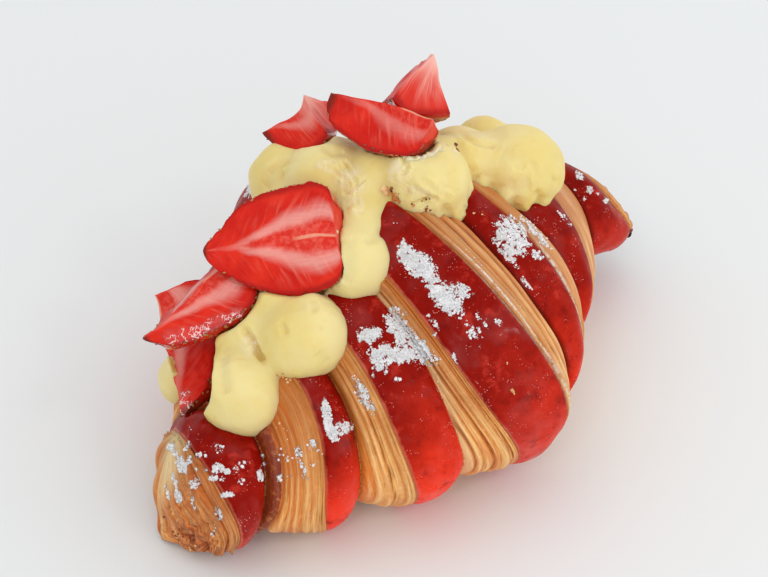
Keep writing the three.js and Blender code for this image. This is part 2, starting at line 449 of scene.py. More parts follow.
def outline(t, name):
    """Radius of a berry from tip (0) to stem (1), as a share of its widest."""
    t = np.clip(t, 0, 1)
    end = CUT_END.get(name, STEM_END)
    nose = np.sin(np.pi / 2 * np.minimum(t / SHOULDER, 1) ** BLUNT.get(name, 0.66))
    past = np.clip((t - SHOULDER) / (1 - SHOULDER), 0, 1)
    return np.where(t < SHOULDER, nose, end + (1 - end) * np.sqrt(1 - 0.985 * past ** 2.6))


def berry_axes(name):
    """Tip, length, core and two directions across it, radius (mm) and half angle of a berry."""
    tip, stem, out, radius, half = BERRIES[name]
    tip = framed(tip)
    stem = framed(stem)
    length = np.linalg.norm(stem - tip)
    core = (stem - tip) / length
    first = np.array(out) - core * np.dot(out, core)
    first /= np.linalg.norm(first)
    return tip, length, core, first, np.cross(core, first), radius, math.radians(half)


def berry_piece(name):
    tip, length, core, first, second, radius, half = berry_axes(name)
    radius *= MM
    deselect()
    bpy.ops.mesh.primitive_grid_add(x_subdivisions=ACROSS, y_subdivisions=ALONG, size=1)
    piece = bpy.context.object
    piece.name = name + "_cut"
    flat = points_of(piece) + 0.5
    t = flat[:, 1] ** 1.2
    edge = first * math.cos(half) - second * math.sin(half)
    reach = flat[:, 0] ** 0.8 * radius * outline(t, name)
    put_points(piece, tip + np.outer(t * length, core) + np.outer(reach, edge))
    only(piece)
    steps = max(12, round(2 * half * radius / (SKIN_STEP * MM)))
    bpy.ops.object.mode_set(mode="EDIT")
    bpy.ops.mesh.select_all(action="SELECT")
    bpy.ops.mesh.spin(steps=steps, angle=-2 * half, center=tuple(tip), axis=tuple(core))
    bpy.ops.object.mode_set(mode="OBJECT")
    weld(piece, 0.02 * MM)
    return piece


def berry_places(piece, name):
    """Place of each vertex on its berry: along the core, out from it, and angle from the skin's middle."""
    tip, length, core, first, second, radius, half = berry_axes(name)
    off = points_of(piece) - tip
    t = off @ core / length
    away = off - np.outer(off @ core, core)
    distance = np.linalg.norm(away, axis=1)
    across = distance / np.maximum(radius * MM * outline(t, name), 0.3 * MM)
    return t, across, np.arctan2(away @ second, away @ first)


# %% [markdown]
# The spun body is then made into fruit: its rims are bevelled, its skin and its cut faces get their own
# materials, it is made a little uneven, and a dimple is pressed into the skin for each seed. The seeds
# are small pips modelled once and copied, a few dozen faces each, and joined into one piece.

# %% Fruit from the spun bodies
RIM = 0.28  # width of the bevel along the cut edges
UNEVEN = 0.35  # how far the fruit strays from a perfect berry
SEED_LENGTH = 0.85
SEED_WIDTH = 0.48
SKIN_FROM = 0.97  # from this share of the way out, a point is on the skin
RIM_ANGLE = math.radians(48)  # edges sharper than this are bevelled
SOFT_ANGLE = math.radians(40)  # edges blunter than this are shaded smooth
# how plain the pale streaks round the core are, and how far the dark tip reaches
STREAKS_TIPS = {"strawberry_1": (1.0, 0.04), "strawberry_2": (0.9, 0.06), "strawberry_3": (0.9, 0.10),
                "strawberry_4": (0.6, 0.20), "strawberry_5": (0.5, 0.12), "strawberry_6": (0.5, 0.05)}
PALE_END = {"strawberry_4": 0.6, "strawberry_6": 0.75}  # how pale the stem end is
# juice that stands on a rim, as a line in the picture; painted highlights (white glint lines) lie along it
WET_AND_GLINTS = {"strawberry_2": [(172, 336), (185, 335), (198, 332), (211, 327), (223, 321), (235, 313)],
       "strawberry_3": [(184, 398), (186, 406), (184, 414)]}


def seed_places(name, seed):
    """Places, outward directions and turns of the seeds on a berry's skin, in staggered rows."""
    tip, length, core, first, second, radius, half = berry_axes(name)
    draw = np.random.default_rng(seed)

    def on_skin(angle, along):
        away = first * math.cos(angle) + second * math.sin(angle)
        return away, tip + core * length * along + away * radius * MM * float(outline(along, name))

    rows = max(4, round(length / (SEED_GAP * MM * 0.85)))
    found = []
    for row in range(rows):
        t = 0.045 + 0.9 * (row + 0.5) / rows
        width = 2 * half * radius * float(outline(t, name))
        count = max(1, round(width / SEED_GAP))
        for k in range(count):
            step = (k + 0.25 + 0.5 * (row % 2)) / count
            angle = half * (2 * step - 1) + draw.normal(0, 0.04)
            along = t + draw.normal(0, 0.008)
            if abs(angle) > half - 0.02:
                continue
            away, place = on_skin(angle, along)
            slope = float(outline(along + 0.02, name) - outline(along - 0.02, name))
            normal = away - core * (slope * radius * MM / (0.04 * length))
            found.append((place, normal / np.linalg.norm(normal), core))
    for side in (-1, 1):
        for along in np.arange(0.05, 0.97, 2.3 * MM / length):
            along += draw.normal(0, 0.008)
            away, place = on_skin(side * (half - 0.5 / radius), along)
            found.append((place, away, core))
    return found


def finish_berry(piece, name, seed):
    t, across, angle = berry_places(piece, name)
    on_skin = across > SKIN_FROM
    stem_end = t > 0.999
    for face in piece.data.polygons:
        corners = list(face.vertices)
        skin = all(on_skin[i] for i in corners) and not all(stem_end[i] for i in corners)
        face.material_index = 0 if skin else 1
    right, down, near_camera = in_picture(points_of(piece))
    juice = np.full(len(t), 99.0)
    for px, py in WET_AND_GLINTS.get(name, []):
        juice = np.minimum(juice, np.hypot(right - px, down - py))
    streaky, tip = STREAKS_TIPS[name]
    painted = {"along": t, "across": np.where(across < 0.02, 0, across), "cap": t > 0.985,
               "round": angle * BERRIES[name][3] / 10, "streaky": np.full(len(t), streaky),
               "tip": t / tip, "fan": np.full(len(t), PALE_END.get(name, 0.15)),
               "wet": 1 - smooth_step(5.0, 12.0, juice)}
    for key, values in painted.items():
        add_attribute(piece, key, values)
    apply_modifier(piece, "BEVEL", width=RIM * MM, segments=2, limit_method="ANGLE",
                   angle_limit=RIM_ANGLE, use_clamp_overlap=True)
    points = points_of(piece)
    if name in HOLLOW:
        core_share = (1 - np.clip(attribute_of(piece, "across"), 0, 1)) ** 1.5
        sag = HOLLOW[name] * np.sin(np.pi * np.clip(attribute_of(piece, "along"), 0, 1) ** 1.3) * core_share
        points = points + np.outer(sag * MM, berry_axes(name)[3])
    shift = np.stack([waves(points / MM, 9.0, seed + k) for k in range(3)], axis=1)
    fine = np.stack([waves(points / MM, 2.6, seed + 5 + k) for k in range(3)], axis=1)
    points = points + (shift * UNEVEN + fine * 0.06) * MM
    tree = search_tree(points)
    pips = []
    for place, normal, core in seed_places(name, seed):
        near, i, distance = tree.find(Vector(place))
        spot = np.array(near)
        pips.append((spot - normal * DIMPLE * MM * 0.55, normal, core))
        for near, i, distance in tree.find_range(Vector(spot), 1.3 * MM):
            points[i] -= normal * DIMPLE * MM * math.exp(-((distance / (0.62 * MM)) ** 2))
    put_points(piece, points)
    only(piece)
    bpy.ops.object.shade_smooth_by_angle(angle=SOFT_ANGLE)
    return pips


def seeds_piece(name, pips, seed):
    """All seeds of the fruit as one mesh of small pips."""
    shape, faces = shape_of(bpy.ops.mesh.primitive_uv_sphere_add, segments=8, ring_count=5, radius=1)
    draw = np.random.default_rng(seed)
    points = []
    polygons = []
    for place, normal, core in pips:
        long = core - normal * np.dot(core, normal)
        long /= np.linalg.norm(long)
        side = np.cross(normal, long)
        size = draw.uniform(0.85, 1.15)
        taper = 1 - 0.35 * shape[:, 0:1]
        local = (np.outer(shape[:, 0] * SEED_LENGTH / 2, long)
                 + np.outer(shape[:, 1] * SEED_WIDTH / 2 * taper[:, 0], side)
                 + np.outer(shape[:, 2] * SEED_WIDTH * 0.4, normal))
        first = len(points) * len(shape)
        points.append(place + local * size * MM)
        polygons += [[first + i for i in face] for face in faces]
    piece = built(name, points, polygons)
    only(piece)
    bpy.ops.object.shade_smooth()
    return piece


fruit = {}
pips = []
for number, name in enumerate(BERRIES):
    fruit[name] = berry_piece(name)
    pips += finish_berry(fruit[name], name, 40 + 10 * number)
    print(name, len(fruit[name].data.polygons), "faces")
seeds = seeds_piece("strawberry_seeds", pips, 7)
print(len(pips), "seeds")

# %% [markdown]
# ## The cream
# The cream is one rope of stiff custard, piped back and forth across the cut so that each bend swells
# into a smooth round lobe over the edge. The lobes and the strands between them are spheres along the
# rope's path, joined and remeshed into one skin. A little smoothing rounds the creases where lobes press
# together, as the soft cream does.

# %% The rope of cream
# lobes that show: place and half sizes
LOBES = [
    (-56.4, 19.6, 23.8, 5.8, 6.2, 6.0),
    (-54.0, 16.0, 30.0, 7.0, 8.0, 7.0),
    (-51.0, 21.0, 25.5, 6.5, 5.0, 5.0),
    (-45.5, 20.5, 29.5, 6.0, 5.0, 5.5),
    (-58.1, -2.1, 35.0, 9.2, 10.0, 9.6),
    (-52.0, 9.0, 34.0, 8.0, 10.0, 7.5),
    (-42.6, -6.9, 45.0, 10.1, 10.1, 9.7),
    (-43.5, 6.0, 40.5, 8.0, 9.0, 8.0),
    (-34.0, 17.0, 43.0, 9.5, 10.0, 9.0),
    (-24.6, -4.2, 53.5, 9.4, 9.8, 9.4),
    (-12.5, 6.0, 60.5, 8.0, 8.5, 8.0),
    (-13.4, 14.8, 60.6, 10.7, 10.2, 10.0),
    (-16.0, 25.7, 55.4, 10.2, 9.7, 9.7),
    (-1.0, -4.5, 64.0, 10.4, 10.0, 9.6),
    (0.1, -10.6, 59.6, 4.6, 4.6, 4.6),
    (-3.5, -2.0, 67.5, 8.0, 7.0, 6.6),
    (-6.5, 5.0, 64.0, 8.5, 8.0, 7.5),
    (5.0, 8.0, 58.0, 9.5, 10.0, 9.0),
    (13.0, 15.0, 51.0, 9.5, 9.5, 9.0),
    (17.0, 3.0, 55.0, 9.0, 10.0, 9.0),
    (24.0, -8.6, 56.0, 11.4, 10.4, 10.2),
    (31.0, 7.0, 49.0, 8.5, 9.5, 8.5),
]
# strands between lobes: two ends and their half widths
STRANDS = [
    ((-14.0, 3.0, 60.0), (-23.0, -2.5, 55.0), 6.6, 7.6),
    ((-12.0, 12.0, 61.0), (0.0, -1.0, 64.0), 7.5, 7.0),
    ((1.0, 2.0, 62.0), (19.0, -4.0, 57.5), 8.0, 8.0),
    ((-46.0, 2.0, 43.0), (-53.0, 6.0, 36.0), 7.0, 7.0),
    ((-30.0, 12.0, 50.0), (-41.0, 2.0, 46.0), 7.0, 8.0),
    ((-16.0, 22.0, 56.0), (-30.0, 15.0, 48.0), 8.0, 8.0),
]
# the lower part of the rope, down in the cut
ROPE_BASE = [
    (-47.0, 5.0, 34.0, 14.0, 8.0, 8.0),
    (-29.0, 5.0, 45.0, 14.0, 8.0, 8.0),
    (-8.0, 6.0, 52.0, 15.0, 8.0, 9.0),
    (14.0, 4.0, 48.0, 15.0, 8.0, 8.0),
]
CREAM_VOXEL = 0.55
STRAND_STEPS = 6


def lobe(place, sizes):
    bpy.ops.mesh.primitive_uv_sphere_add(segments=40, ring_count=20, radius=1,
                                         location=tuple(framed(place)),
                                         scale=tuple(np.array(sizes) * MM))
    return bpy.context.object


def rope_of_cream():
    deselect()
    lumps = [lobe(row[:3], row[3:]) for row in LOBES + ROPE_BASE]
    for start, end, wide, narrow in STRANDS:
        for k in range(STRAND_STEPS + 1):
            share = k / STRAND_STEPS
            place = np.array(start) * (1 - share) + np.array(end) * share
            half = wide * (1 - share) + narrow * share
            lumps.append(lobe(place, (half, half, half)))
    rope = joined(lumps)
    bpy.ops.object.transform_apply(location=True, rotation=True, scale=True)
    rope.name = "piped_cream"
    apply_modifier(rope, "REMESH", mode="VOXEL", voxel_size=CREAM_VOXEL * MM)
    apply_modifier(rope, "SMOOTH", factor=0.5, iterations=24)
    return rope


rope = rope_of_cream()
print("rope of cream", len(rope.data.polygons), "faces")

# %% [markdown]
# The fruit is pressed into the soft cream, which gives way behind it. The hollow that a berry leaves is
# the berry itself drawn along the way it came in, a little wider at every step. The hollows are cut from
# the rope, and a light smoothing rounds their edges. The rope with the hollows filled is kept for a
# moment, because it is also the shape of the opening in the pastry.

# %% Hollows for the fruit
PRESS_STEPS = 7
PRESS_WIDEN = 0.02
# way out of the cream for each berry, and how far
PRESS = {
    "strawberry_1": ((-0.68, -0.32, 0.65), 14.0), "strawberry_2": ((-0.54, -0.54, 0.64), 14.0),
    "strawberry_3": ((-0.60, -0.54, 0.58), 22.0), "strawberry_4": ((-0.4, -0.4, 0.8), 7.0),
    "strawberry_5": ((-0.4, -0.4, 0.8), 7.0), "strawberry_6": ((-0.4, -0.4, 0.8), 7.0),
}


def copy_of(piece, name):
    copy = piece.copy()
    copy.data = piece.data.copy()
    copy.name = name
    bpy.context.scene.collection.objects.link(copy)
    return copy


def hollow_of(name):
    """The berry drawn out of the cream, as one closed body."""
    way, reach = PRESS[name]
    way = np.array(way) / np.linalg.norm(way)
    steps = []
    for k in range(PRESS_STEPS + 1):
        step = copy_of(fruit[name], "hollow")
        points = points_of(step)
        middle = points.mean(axis=0)
        widen = 1 + PRESS_WIDEN * k
        put_points(step, middle + (points - middle) * widen + way * reach * MM * k / PRESS_STEPS)
        steps.append(step)
    hollow = joined(steps)
    apply_modifier(hollow, "REMESH", mode="VOXEL", voxel_size=0.7 * MM)
    return hollow


hollow = joined([hollow_of(name) for name in fruit])
apply_modifier(hollow, "REMESH", mode="VOXEL", voxel_size=0.7 * MM)
opening = joined([copy_of(rope, "opening"), copy_of(hollow, "opening_top")])
apply_modifier(opening, "REMESH", mode="VOXEL", voxel_size=0.8 * MM)
cream = rope
apply_modifier(cream, "BOOLEAN", operation="DIFFERENCE", object=hollow, solver="MANIFOLD")
apply_modifier(cream, "REMESH", mode="VOXEL", voxel_size=CREAM_VOXEL * MM)
apply_modifier(cream, "SMOOTH", factor=0.5, iterations=5)
bpy.data.objects.remove(hollow)
cream.data.materials.clear()
print("cream", len(cream.data.polygons), "faces")

# %% [markdown]
# ## The pastry
# The pastry is one roll of dough. From its ends to its middle each turn of the roll lies over the one
# before, so along its side a glazed red skin (smooth, a little swollen) follows a golden cut edge (many
# thin layers), again and again. The skin ends in a rounded lip over the cut layers, and at its other
# side it dives into a crack at the foot of the next turn. The whole surface is one grid that is wrapped
# round the body, row by row, because every row has to follow the measured line of a band's edge.

# %% Sizes of the pastry
# stations along the pastry: x, half width, half height, centre y, centre z
STATIONS = np.array([
    [-72, 17.6, 11.6, -3.2, 12.6], [-60, 22.4, 16.6, -2.6, 15.6], [-45, 32.6, 21.8, -1.4, 20.6],
    [-28, 43.4, 26.6, -0.4, 25.2], [-14, 48.8, 30.6, 0.0, 29.0], [-5, 50.2, 32.2, 0.0, 30.6],
    [10, 42.2, 30.6, 0.4, 29.0], [28, 31.2, 26.8, 1.5, 25.4], [45, 21.6, 20.0, 3.4, 19.6],
    [60, 17.0, 15.0, 4.0, 16.0], [67, 15.6, 12.6, 1.8, 13.8]])
LEFT_TIP = np.array([-79.9, 1.8, 1.8])
RIGHT_TIP = np.array([69.0, -9.3, 11.0])
LEFT_RING = {"centre": (-71.0, -3.0, 13.6), "front": 19.0, "back": 17.1, "height": 14.6}
LEFT_LEAN = {"front": -4.0, "back": -5.0, "top": -1.6}
# edges between the bands: x on top, bow, bow of the lower front, height off the body
EDGES = [
    None, (-59.8, -5.2, -4.3, -2.0), (-48.8, -8.6, 0.2, 2.4), (-41.8, -5.4, -0.3, -2.4),
    (-37.6, -8.1, 5.1, 2.6), (-25.8, -7.4, 4.4, -0.8), (-23.4, -9.6, 12.6, 2.8), (-11.3, -2.6, 7.6, 2.8),
    (-0.6, -6.3, 10.8, -2.2), (6.3, 5.6, -2.9, 2.4), (15.3, 6.3, 0.3, -2.0), (29.0, 4.6, -7.4, 2.2),
    (50.8, -0.6, -5.0, -1.4), (60.5, -0.5, 7.0, -0.2)]
FEET = (1, 3, 5, 8, 10, 12)  # edges at the foot of a turn; the others are lips
FLUSH = 5  # the foot where the skin lies flush against the cut layers
BACK_BOW = 0.8
BACK_WIDTH = 0.9
UNDERSIDE = 1.0  # height of the flat underside
DOME_FLAT = {0: 0.42, 13: 0.22}  # how pointed the two ends are
# the ends are drawn in and up off the table: how much, from x, to x
END_LIFT = [(3.2, 0.0, 24.0), (4.5, 42.0, 58.0), (2.8, -52.0, -70.0)]
END_STEP = (5.2, 0.6)  # the last turn at the right is slimmer underneath, at its start and end
AROUND = 240  # points round the pastry
GLAZED_ROWS = 22
CUT_ROWS = {0: 48, 2: 44, 4: 42, 6: 54, 8: 24, 10: 20, 12: 18, 14: 16}


def station(x, column):
    """Smooth curve through one column of the stations."""
    along = STATIONS[:, 0]
    value = STATIONS[:, column]
    last = len(along) - 1
    before = np.maximum(np.arange(last + 1) - 1, 0)
    after = np.minimum(np.arange(last + 1) + 1, last)
    slope = (value[after] - value[before]) / (along[after] - along[before])
    i = np.clip(np.searchsorted(along, x, side="right") - 1, 0, last - 1)
    width = along[i + 1] - along[i]
    t = np.clip((x - along[i]) / width, 0, 1)
    t2 = t * t
    t3 = t2 * t
    return (value[i] * (2 * t3 - 3 * t2 + 1) + value[i + 1] * (3 * t2 - 2 * t3)
            + width * (slope[i] * (t3 - 2 * t2 + t) + slope[i + 1] * (t3 - t2)))


def edge_line(k, phi):
    """Points of band edge k at the angles phi, 0 at the front and a quarter turn on top."""
    c = np.cos(phi)
    s = np.sin(phi)
    if EDGES[k] is None:
        ring = LEFT_RING
        lean = np.where(c > 0, LEFT_LEAN["front"], LEFT_LEAN["back"])
        x = ring["centre"][0] + lean * c + LEFT_LEAN["top"] * s
        y = ring["centre"][1] - np.where(c > 0, ring["front"], ring["back"]) * c
        z = ring["centre"][2] + ring["height"] * s
        return np.stack([x, y, np.maximum(z, UNDERSIDE)], axis=-1)
    top, bow, low_bow, off = EDGES[k]
    front = top + bow * c * c + low_bow * c * (1 - s)
    rear = top + BACK_BOW * (bow + low_bow) * c * c
    x = np.where(c > 0, front, rear)
    side = np.where(c > 0, 1.0, BACK_WIDTH)
    y = station(x, 3) - (station(x, 1) * side + off) * c
    z = station(x, 4) + (station(x, 2) + off) * s
    return np.stack([x, y, np.maximum(z, UNDERSIDE)], axis=-1)


def drawn_in(points, phi, amount):
    """Draw the lower side of the pastry in and up."""
    amount = amount * (1 - smooth_step(-0.45, 0.45, np.sin(phi)))
    moved = points.copy()
    moved[..., 1] += amount * np.cos(phi)
    moved[..., 2] -= amount * np.sin(phi)
    return moved


def lifted(points, phi, share=1.0, extra=0.0):
    """Draw in the lower side toward the ends of the pastry."""
    amount = sum(most * smooth_step(low, high, points[..., 0]) for most, low, high in END_LIFT)
    return drawn_in(points, phi, (amount + extra) * share)


def ring_of(k, phi):
    last = k == len(EDGES) - 1
    return lifted(edge_line(k, phi), phi, 1.0, END_STEP[1] if last else 0.0)


def dome_rows(tip, k, t, phi):
    """Rows of the rounded end between a tip (t 0) and edge k (t 1)."""
    ring = edge_line(k, phi)[None]
    flat = DOME_FLAT[k]
    turn = t[:, None, None] * np.pi / 2
    wide = np.sin(turn) * (1 - flat) + t[:, None, None] * flat
    deep = (1 - np.cos(turn)) * (1 - flat) + t[:, None, None] * flat
    share = np.concatenate([deep, wide, wide], axis=2)
    rows = tip + (ring - tip) * share
    rows[..., 2] = np.maximum(rows[..., 2], UNDERSIDE)
    return rows


print("pastry sizes", len(EDGES) + 1, "bands")

# %% [markdown]
# Relief across a band: a glazed band swells and rounds over at its lip. A cut band carries the layers:
# their lines run beside the lip and are cut off where the band narrows at the foot, every layer has its
# own height and tone, and now and then the dough has opened into a deeper crack.

# %% Relief of the bands
LIP_ROUND = 0.85
LIP_REACH = 1.3
CRACK = 0.95
FLUSH_CRACK = 0.35
NARROW_SHADE = 1.7  # how much darker the layers' edges are in the narrow cut bands
KNOBS = 6.5  # reach of the knobs at the lower left corner, and of its two browns
BROWNS = ((1.15, 12.0), (0.9, 22.0))
SEAM_PALE = 4.8  # reach of the pale dough beside the seam
BULGE = (1.5, 2.6)  # swell of a glazed band, and of the last one
LAST_GLAZED = 113
LAYERS = 8.5  # number of layers across a wide cut band
# the layers are thin beside the lip and grow over this distance
LAYER_GROWTH = {2: 6.5, 4: 6.5, 6: 6.5, 8: 3.2, 10: 2.9, 12: 2.7}
NARROW = (8, 10, 12)  # cut bands with thin, dark edged layers
# the layers of the left end run between the lip and this line (picture places), and round its lower end
LEFT_SEAM = [(170, 441), (165, 458), (163, 480), (166, 505), (177, 528), (194, 547)]
LEFT_LAYERS = 10
RIGHT_LAYERS = 6
# an open crack beside the foot of a cut band: band, distance from the foot, depth, width
OPEN_CRACKS = {2: (4.4, 1.0, 0.5), 6: (5.2, 0.5, 0.35)}
ROLL = 4.2  # width of the dark brown roll at the foot of band 2
PALE_BANDS = {8: 0.20, 10: 0.12, 12: 0.08}
# lines of sugar caught between the layers: distance from the lip, half width, from and to height, cover
FROST = {8: [(0.12, 0.16, 0.30, 0.95, 0.6), (1.45, 0.24, 0.25, 0.97, 1.0), (2.3, 0.10, 0.3, 0.9, 0.4)],
         10: [(1.1, 0.40, 0.30, 0.90, 1.0), (0.1, 0.12, 0.3, 0.9, 0.4)], 12: [(0.5, 0.35, 0.45, 0.92, 0.9)]}
# how bright a red each glazed band is low down: partly its bake, partly painted light
BRIGHT = {1: 0.5, 3: 0.85, 5: 1.0, 7: 0.4, 9: 0.8, 11: 0.6, 13: 0.45}


def glazed_relief(points, t, lip, foot, seed):
    bulge = BULGE[1] if seed == LAST_GLAZED else BULGE[0]
    swell = bulge * np.sin(np.pi * t) * (0.92 + uneven(points, (0.22, 30.0, seed)))
    skin = uneven(points, (0.28, 16.0, seed + 1), (0.09, 5.0, seed + 2))
    near = np.clip(1 - lip / LIP_REACH, 0, 1)
    rounding = LIP_ROUND * (1 - np.sqrt(1 - near ** 2))
    inside = smooth_step(0, 1.5, np.minimum(lip, foot))
    return swell + skin * inside - rounding - CRACK * np.exp(-foot / 0.8)


def layer_relief(layer, run, lip, foot, seed):
    """Height, crevice mask and tone of the layers at layer number, run along them and edge distances."""
    draw = np.random.default_rng(seed)
    count = 64
    height = draw.uniform(0.22, 0.8, count)
    deep = draw.choice([0.05, 0.12, 0.3, 0.85], count, p=[0.32, 0.36, 0.18, 0.14])
    tone = draw.uniform(0, 1, count)
    beat = draw.uniform(14, 40, count)
    phase = draw.uniform(0, 6.28, count)
    wander = 0.12 * np.sin(run / 12.0 + phase[0]) + 0.04 * np.sin(run / 6.1 + phase[1])
    drift = 0.34 * np.sin(layer * 1.3 + phase[2]) + 0.17 * np.sin(layer * 2.9 + phase[3])
    place = layer + drift + wander * smooth_step(0, 1.2, np.minimum(lip, foot)) + 32
    i = np.clip(np.floor(place).astype(int), 0, count - 1)
    share = place - np.floor(place)
    ridge = 1 - np.abs(2 * share - 1) ** 2.4
    swell = 0.72 + 0.34 * np.sin(run * 6.28 / beat[i] + phase[i])
    border = np.clip(np.round(place).astype(int), 0, count - 1)
    gap = bell(np.minimum(share, 1 - share), 0.20)
    gap_here = gap * deep[border] * (0.6 + 0.5 * np.sin(run * 6.28 / beat[border] + phase[border]) ** 2)
    rise = -0.3 + height[i] * swell * ridge - 0.9 * gap_here
    crevice = np.clip((1 - ridge) * 0.55 + gap_here * 0.9, 0, 1)
    return rise, crevice, tone[i]


def band_rows(band, phi):
    """Base points and the share across for the rows of a band."""
    if band == 0:
        t = np.linspace(0.0, 1.0, CUT_ROWS[0]) ** 0.85
        return lifted(dome_rows(LEFT_TIP, 0, t, phi), phi, t[:, None]), t
    if band == len(EDGES):
        t = np.linspace(1.0, 0.0, CUT_ROWS[band])
        return lifted(dome_rows(RIGHT_TIP, band - 1, t, phi), phi, t[:, None], END_STEP[1]), 1 - t
    if band % 2:
        u = np.linspace(0.0, 1.0, GLAZED_ROWS)
        t = u - 0.09 * np.sin(2 * np.pi * u)
    else:
        u = np.linspace(0.0, 1.0, CUT_ROWS[band])
        t = u - 0.08 * np.sin(2 * np.pi * u)
    first = ring_of(band - 1, phi)
    rows = first + (ring_of(band, phi) - first) * t[:, None, None]
    if band == len(EDGES) - 1:
        step = END_STEP[0] * smooth_step(0, 0.1, t) * (1 - t)
        rows = drawn_in(rows, phi, (step + END_STEP[1] * (smooth_step(0, 0.1, t) - t) * t)[:, None])
    return rows, t


def surface_normals(rows):
    along = np.gradient(rows, axis=0)
    ring = rows[:, :-1]
    wrapped = (np.roll(ring, -1, axis=1) - np.roll(ring, 1, axis=1)) / 2
    round_ = np.concatenate([wrapped, wrapped[:, :1]], axis=1)
    normal = np.cross(round_, along)
    length = np.linalg.norm(normal, axis=2, keepdims=True)
    return normal / np.maximum(length, 1e-9)


print("relief ready")

# %% The pastry's surface
def seam_points(rows):
    """Places on the left end under the picture places of the seam, filled in between."""
    across, down, near_camera = in_picture(framed(rows.reshape(-1, 3)))
    found = []
    for px, py in LEFT_SEAM:
        gap = np.hypot(across - px, down - py)
        near = np.where(gap < gap.min() + 4)[0]
        found.append(rows.reshape(-1, 3)[near[np.argmax(near_camera[near])]])
    line = [found[0]]
    for start, end in zip(found[:-1], found[1:]):
        for k in range(1, 7):
            line.append(start + (end - start) * k / 6)
    return np.array(line)


def distance_to(points, line):
    best = np.full(points.shape[:-1], 1e9)
    for place in line:
        best = np.minimum(best, np.linalg.norm(points - place, axis=-1))
    return best


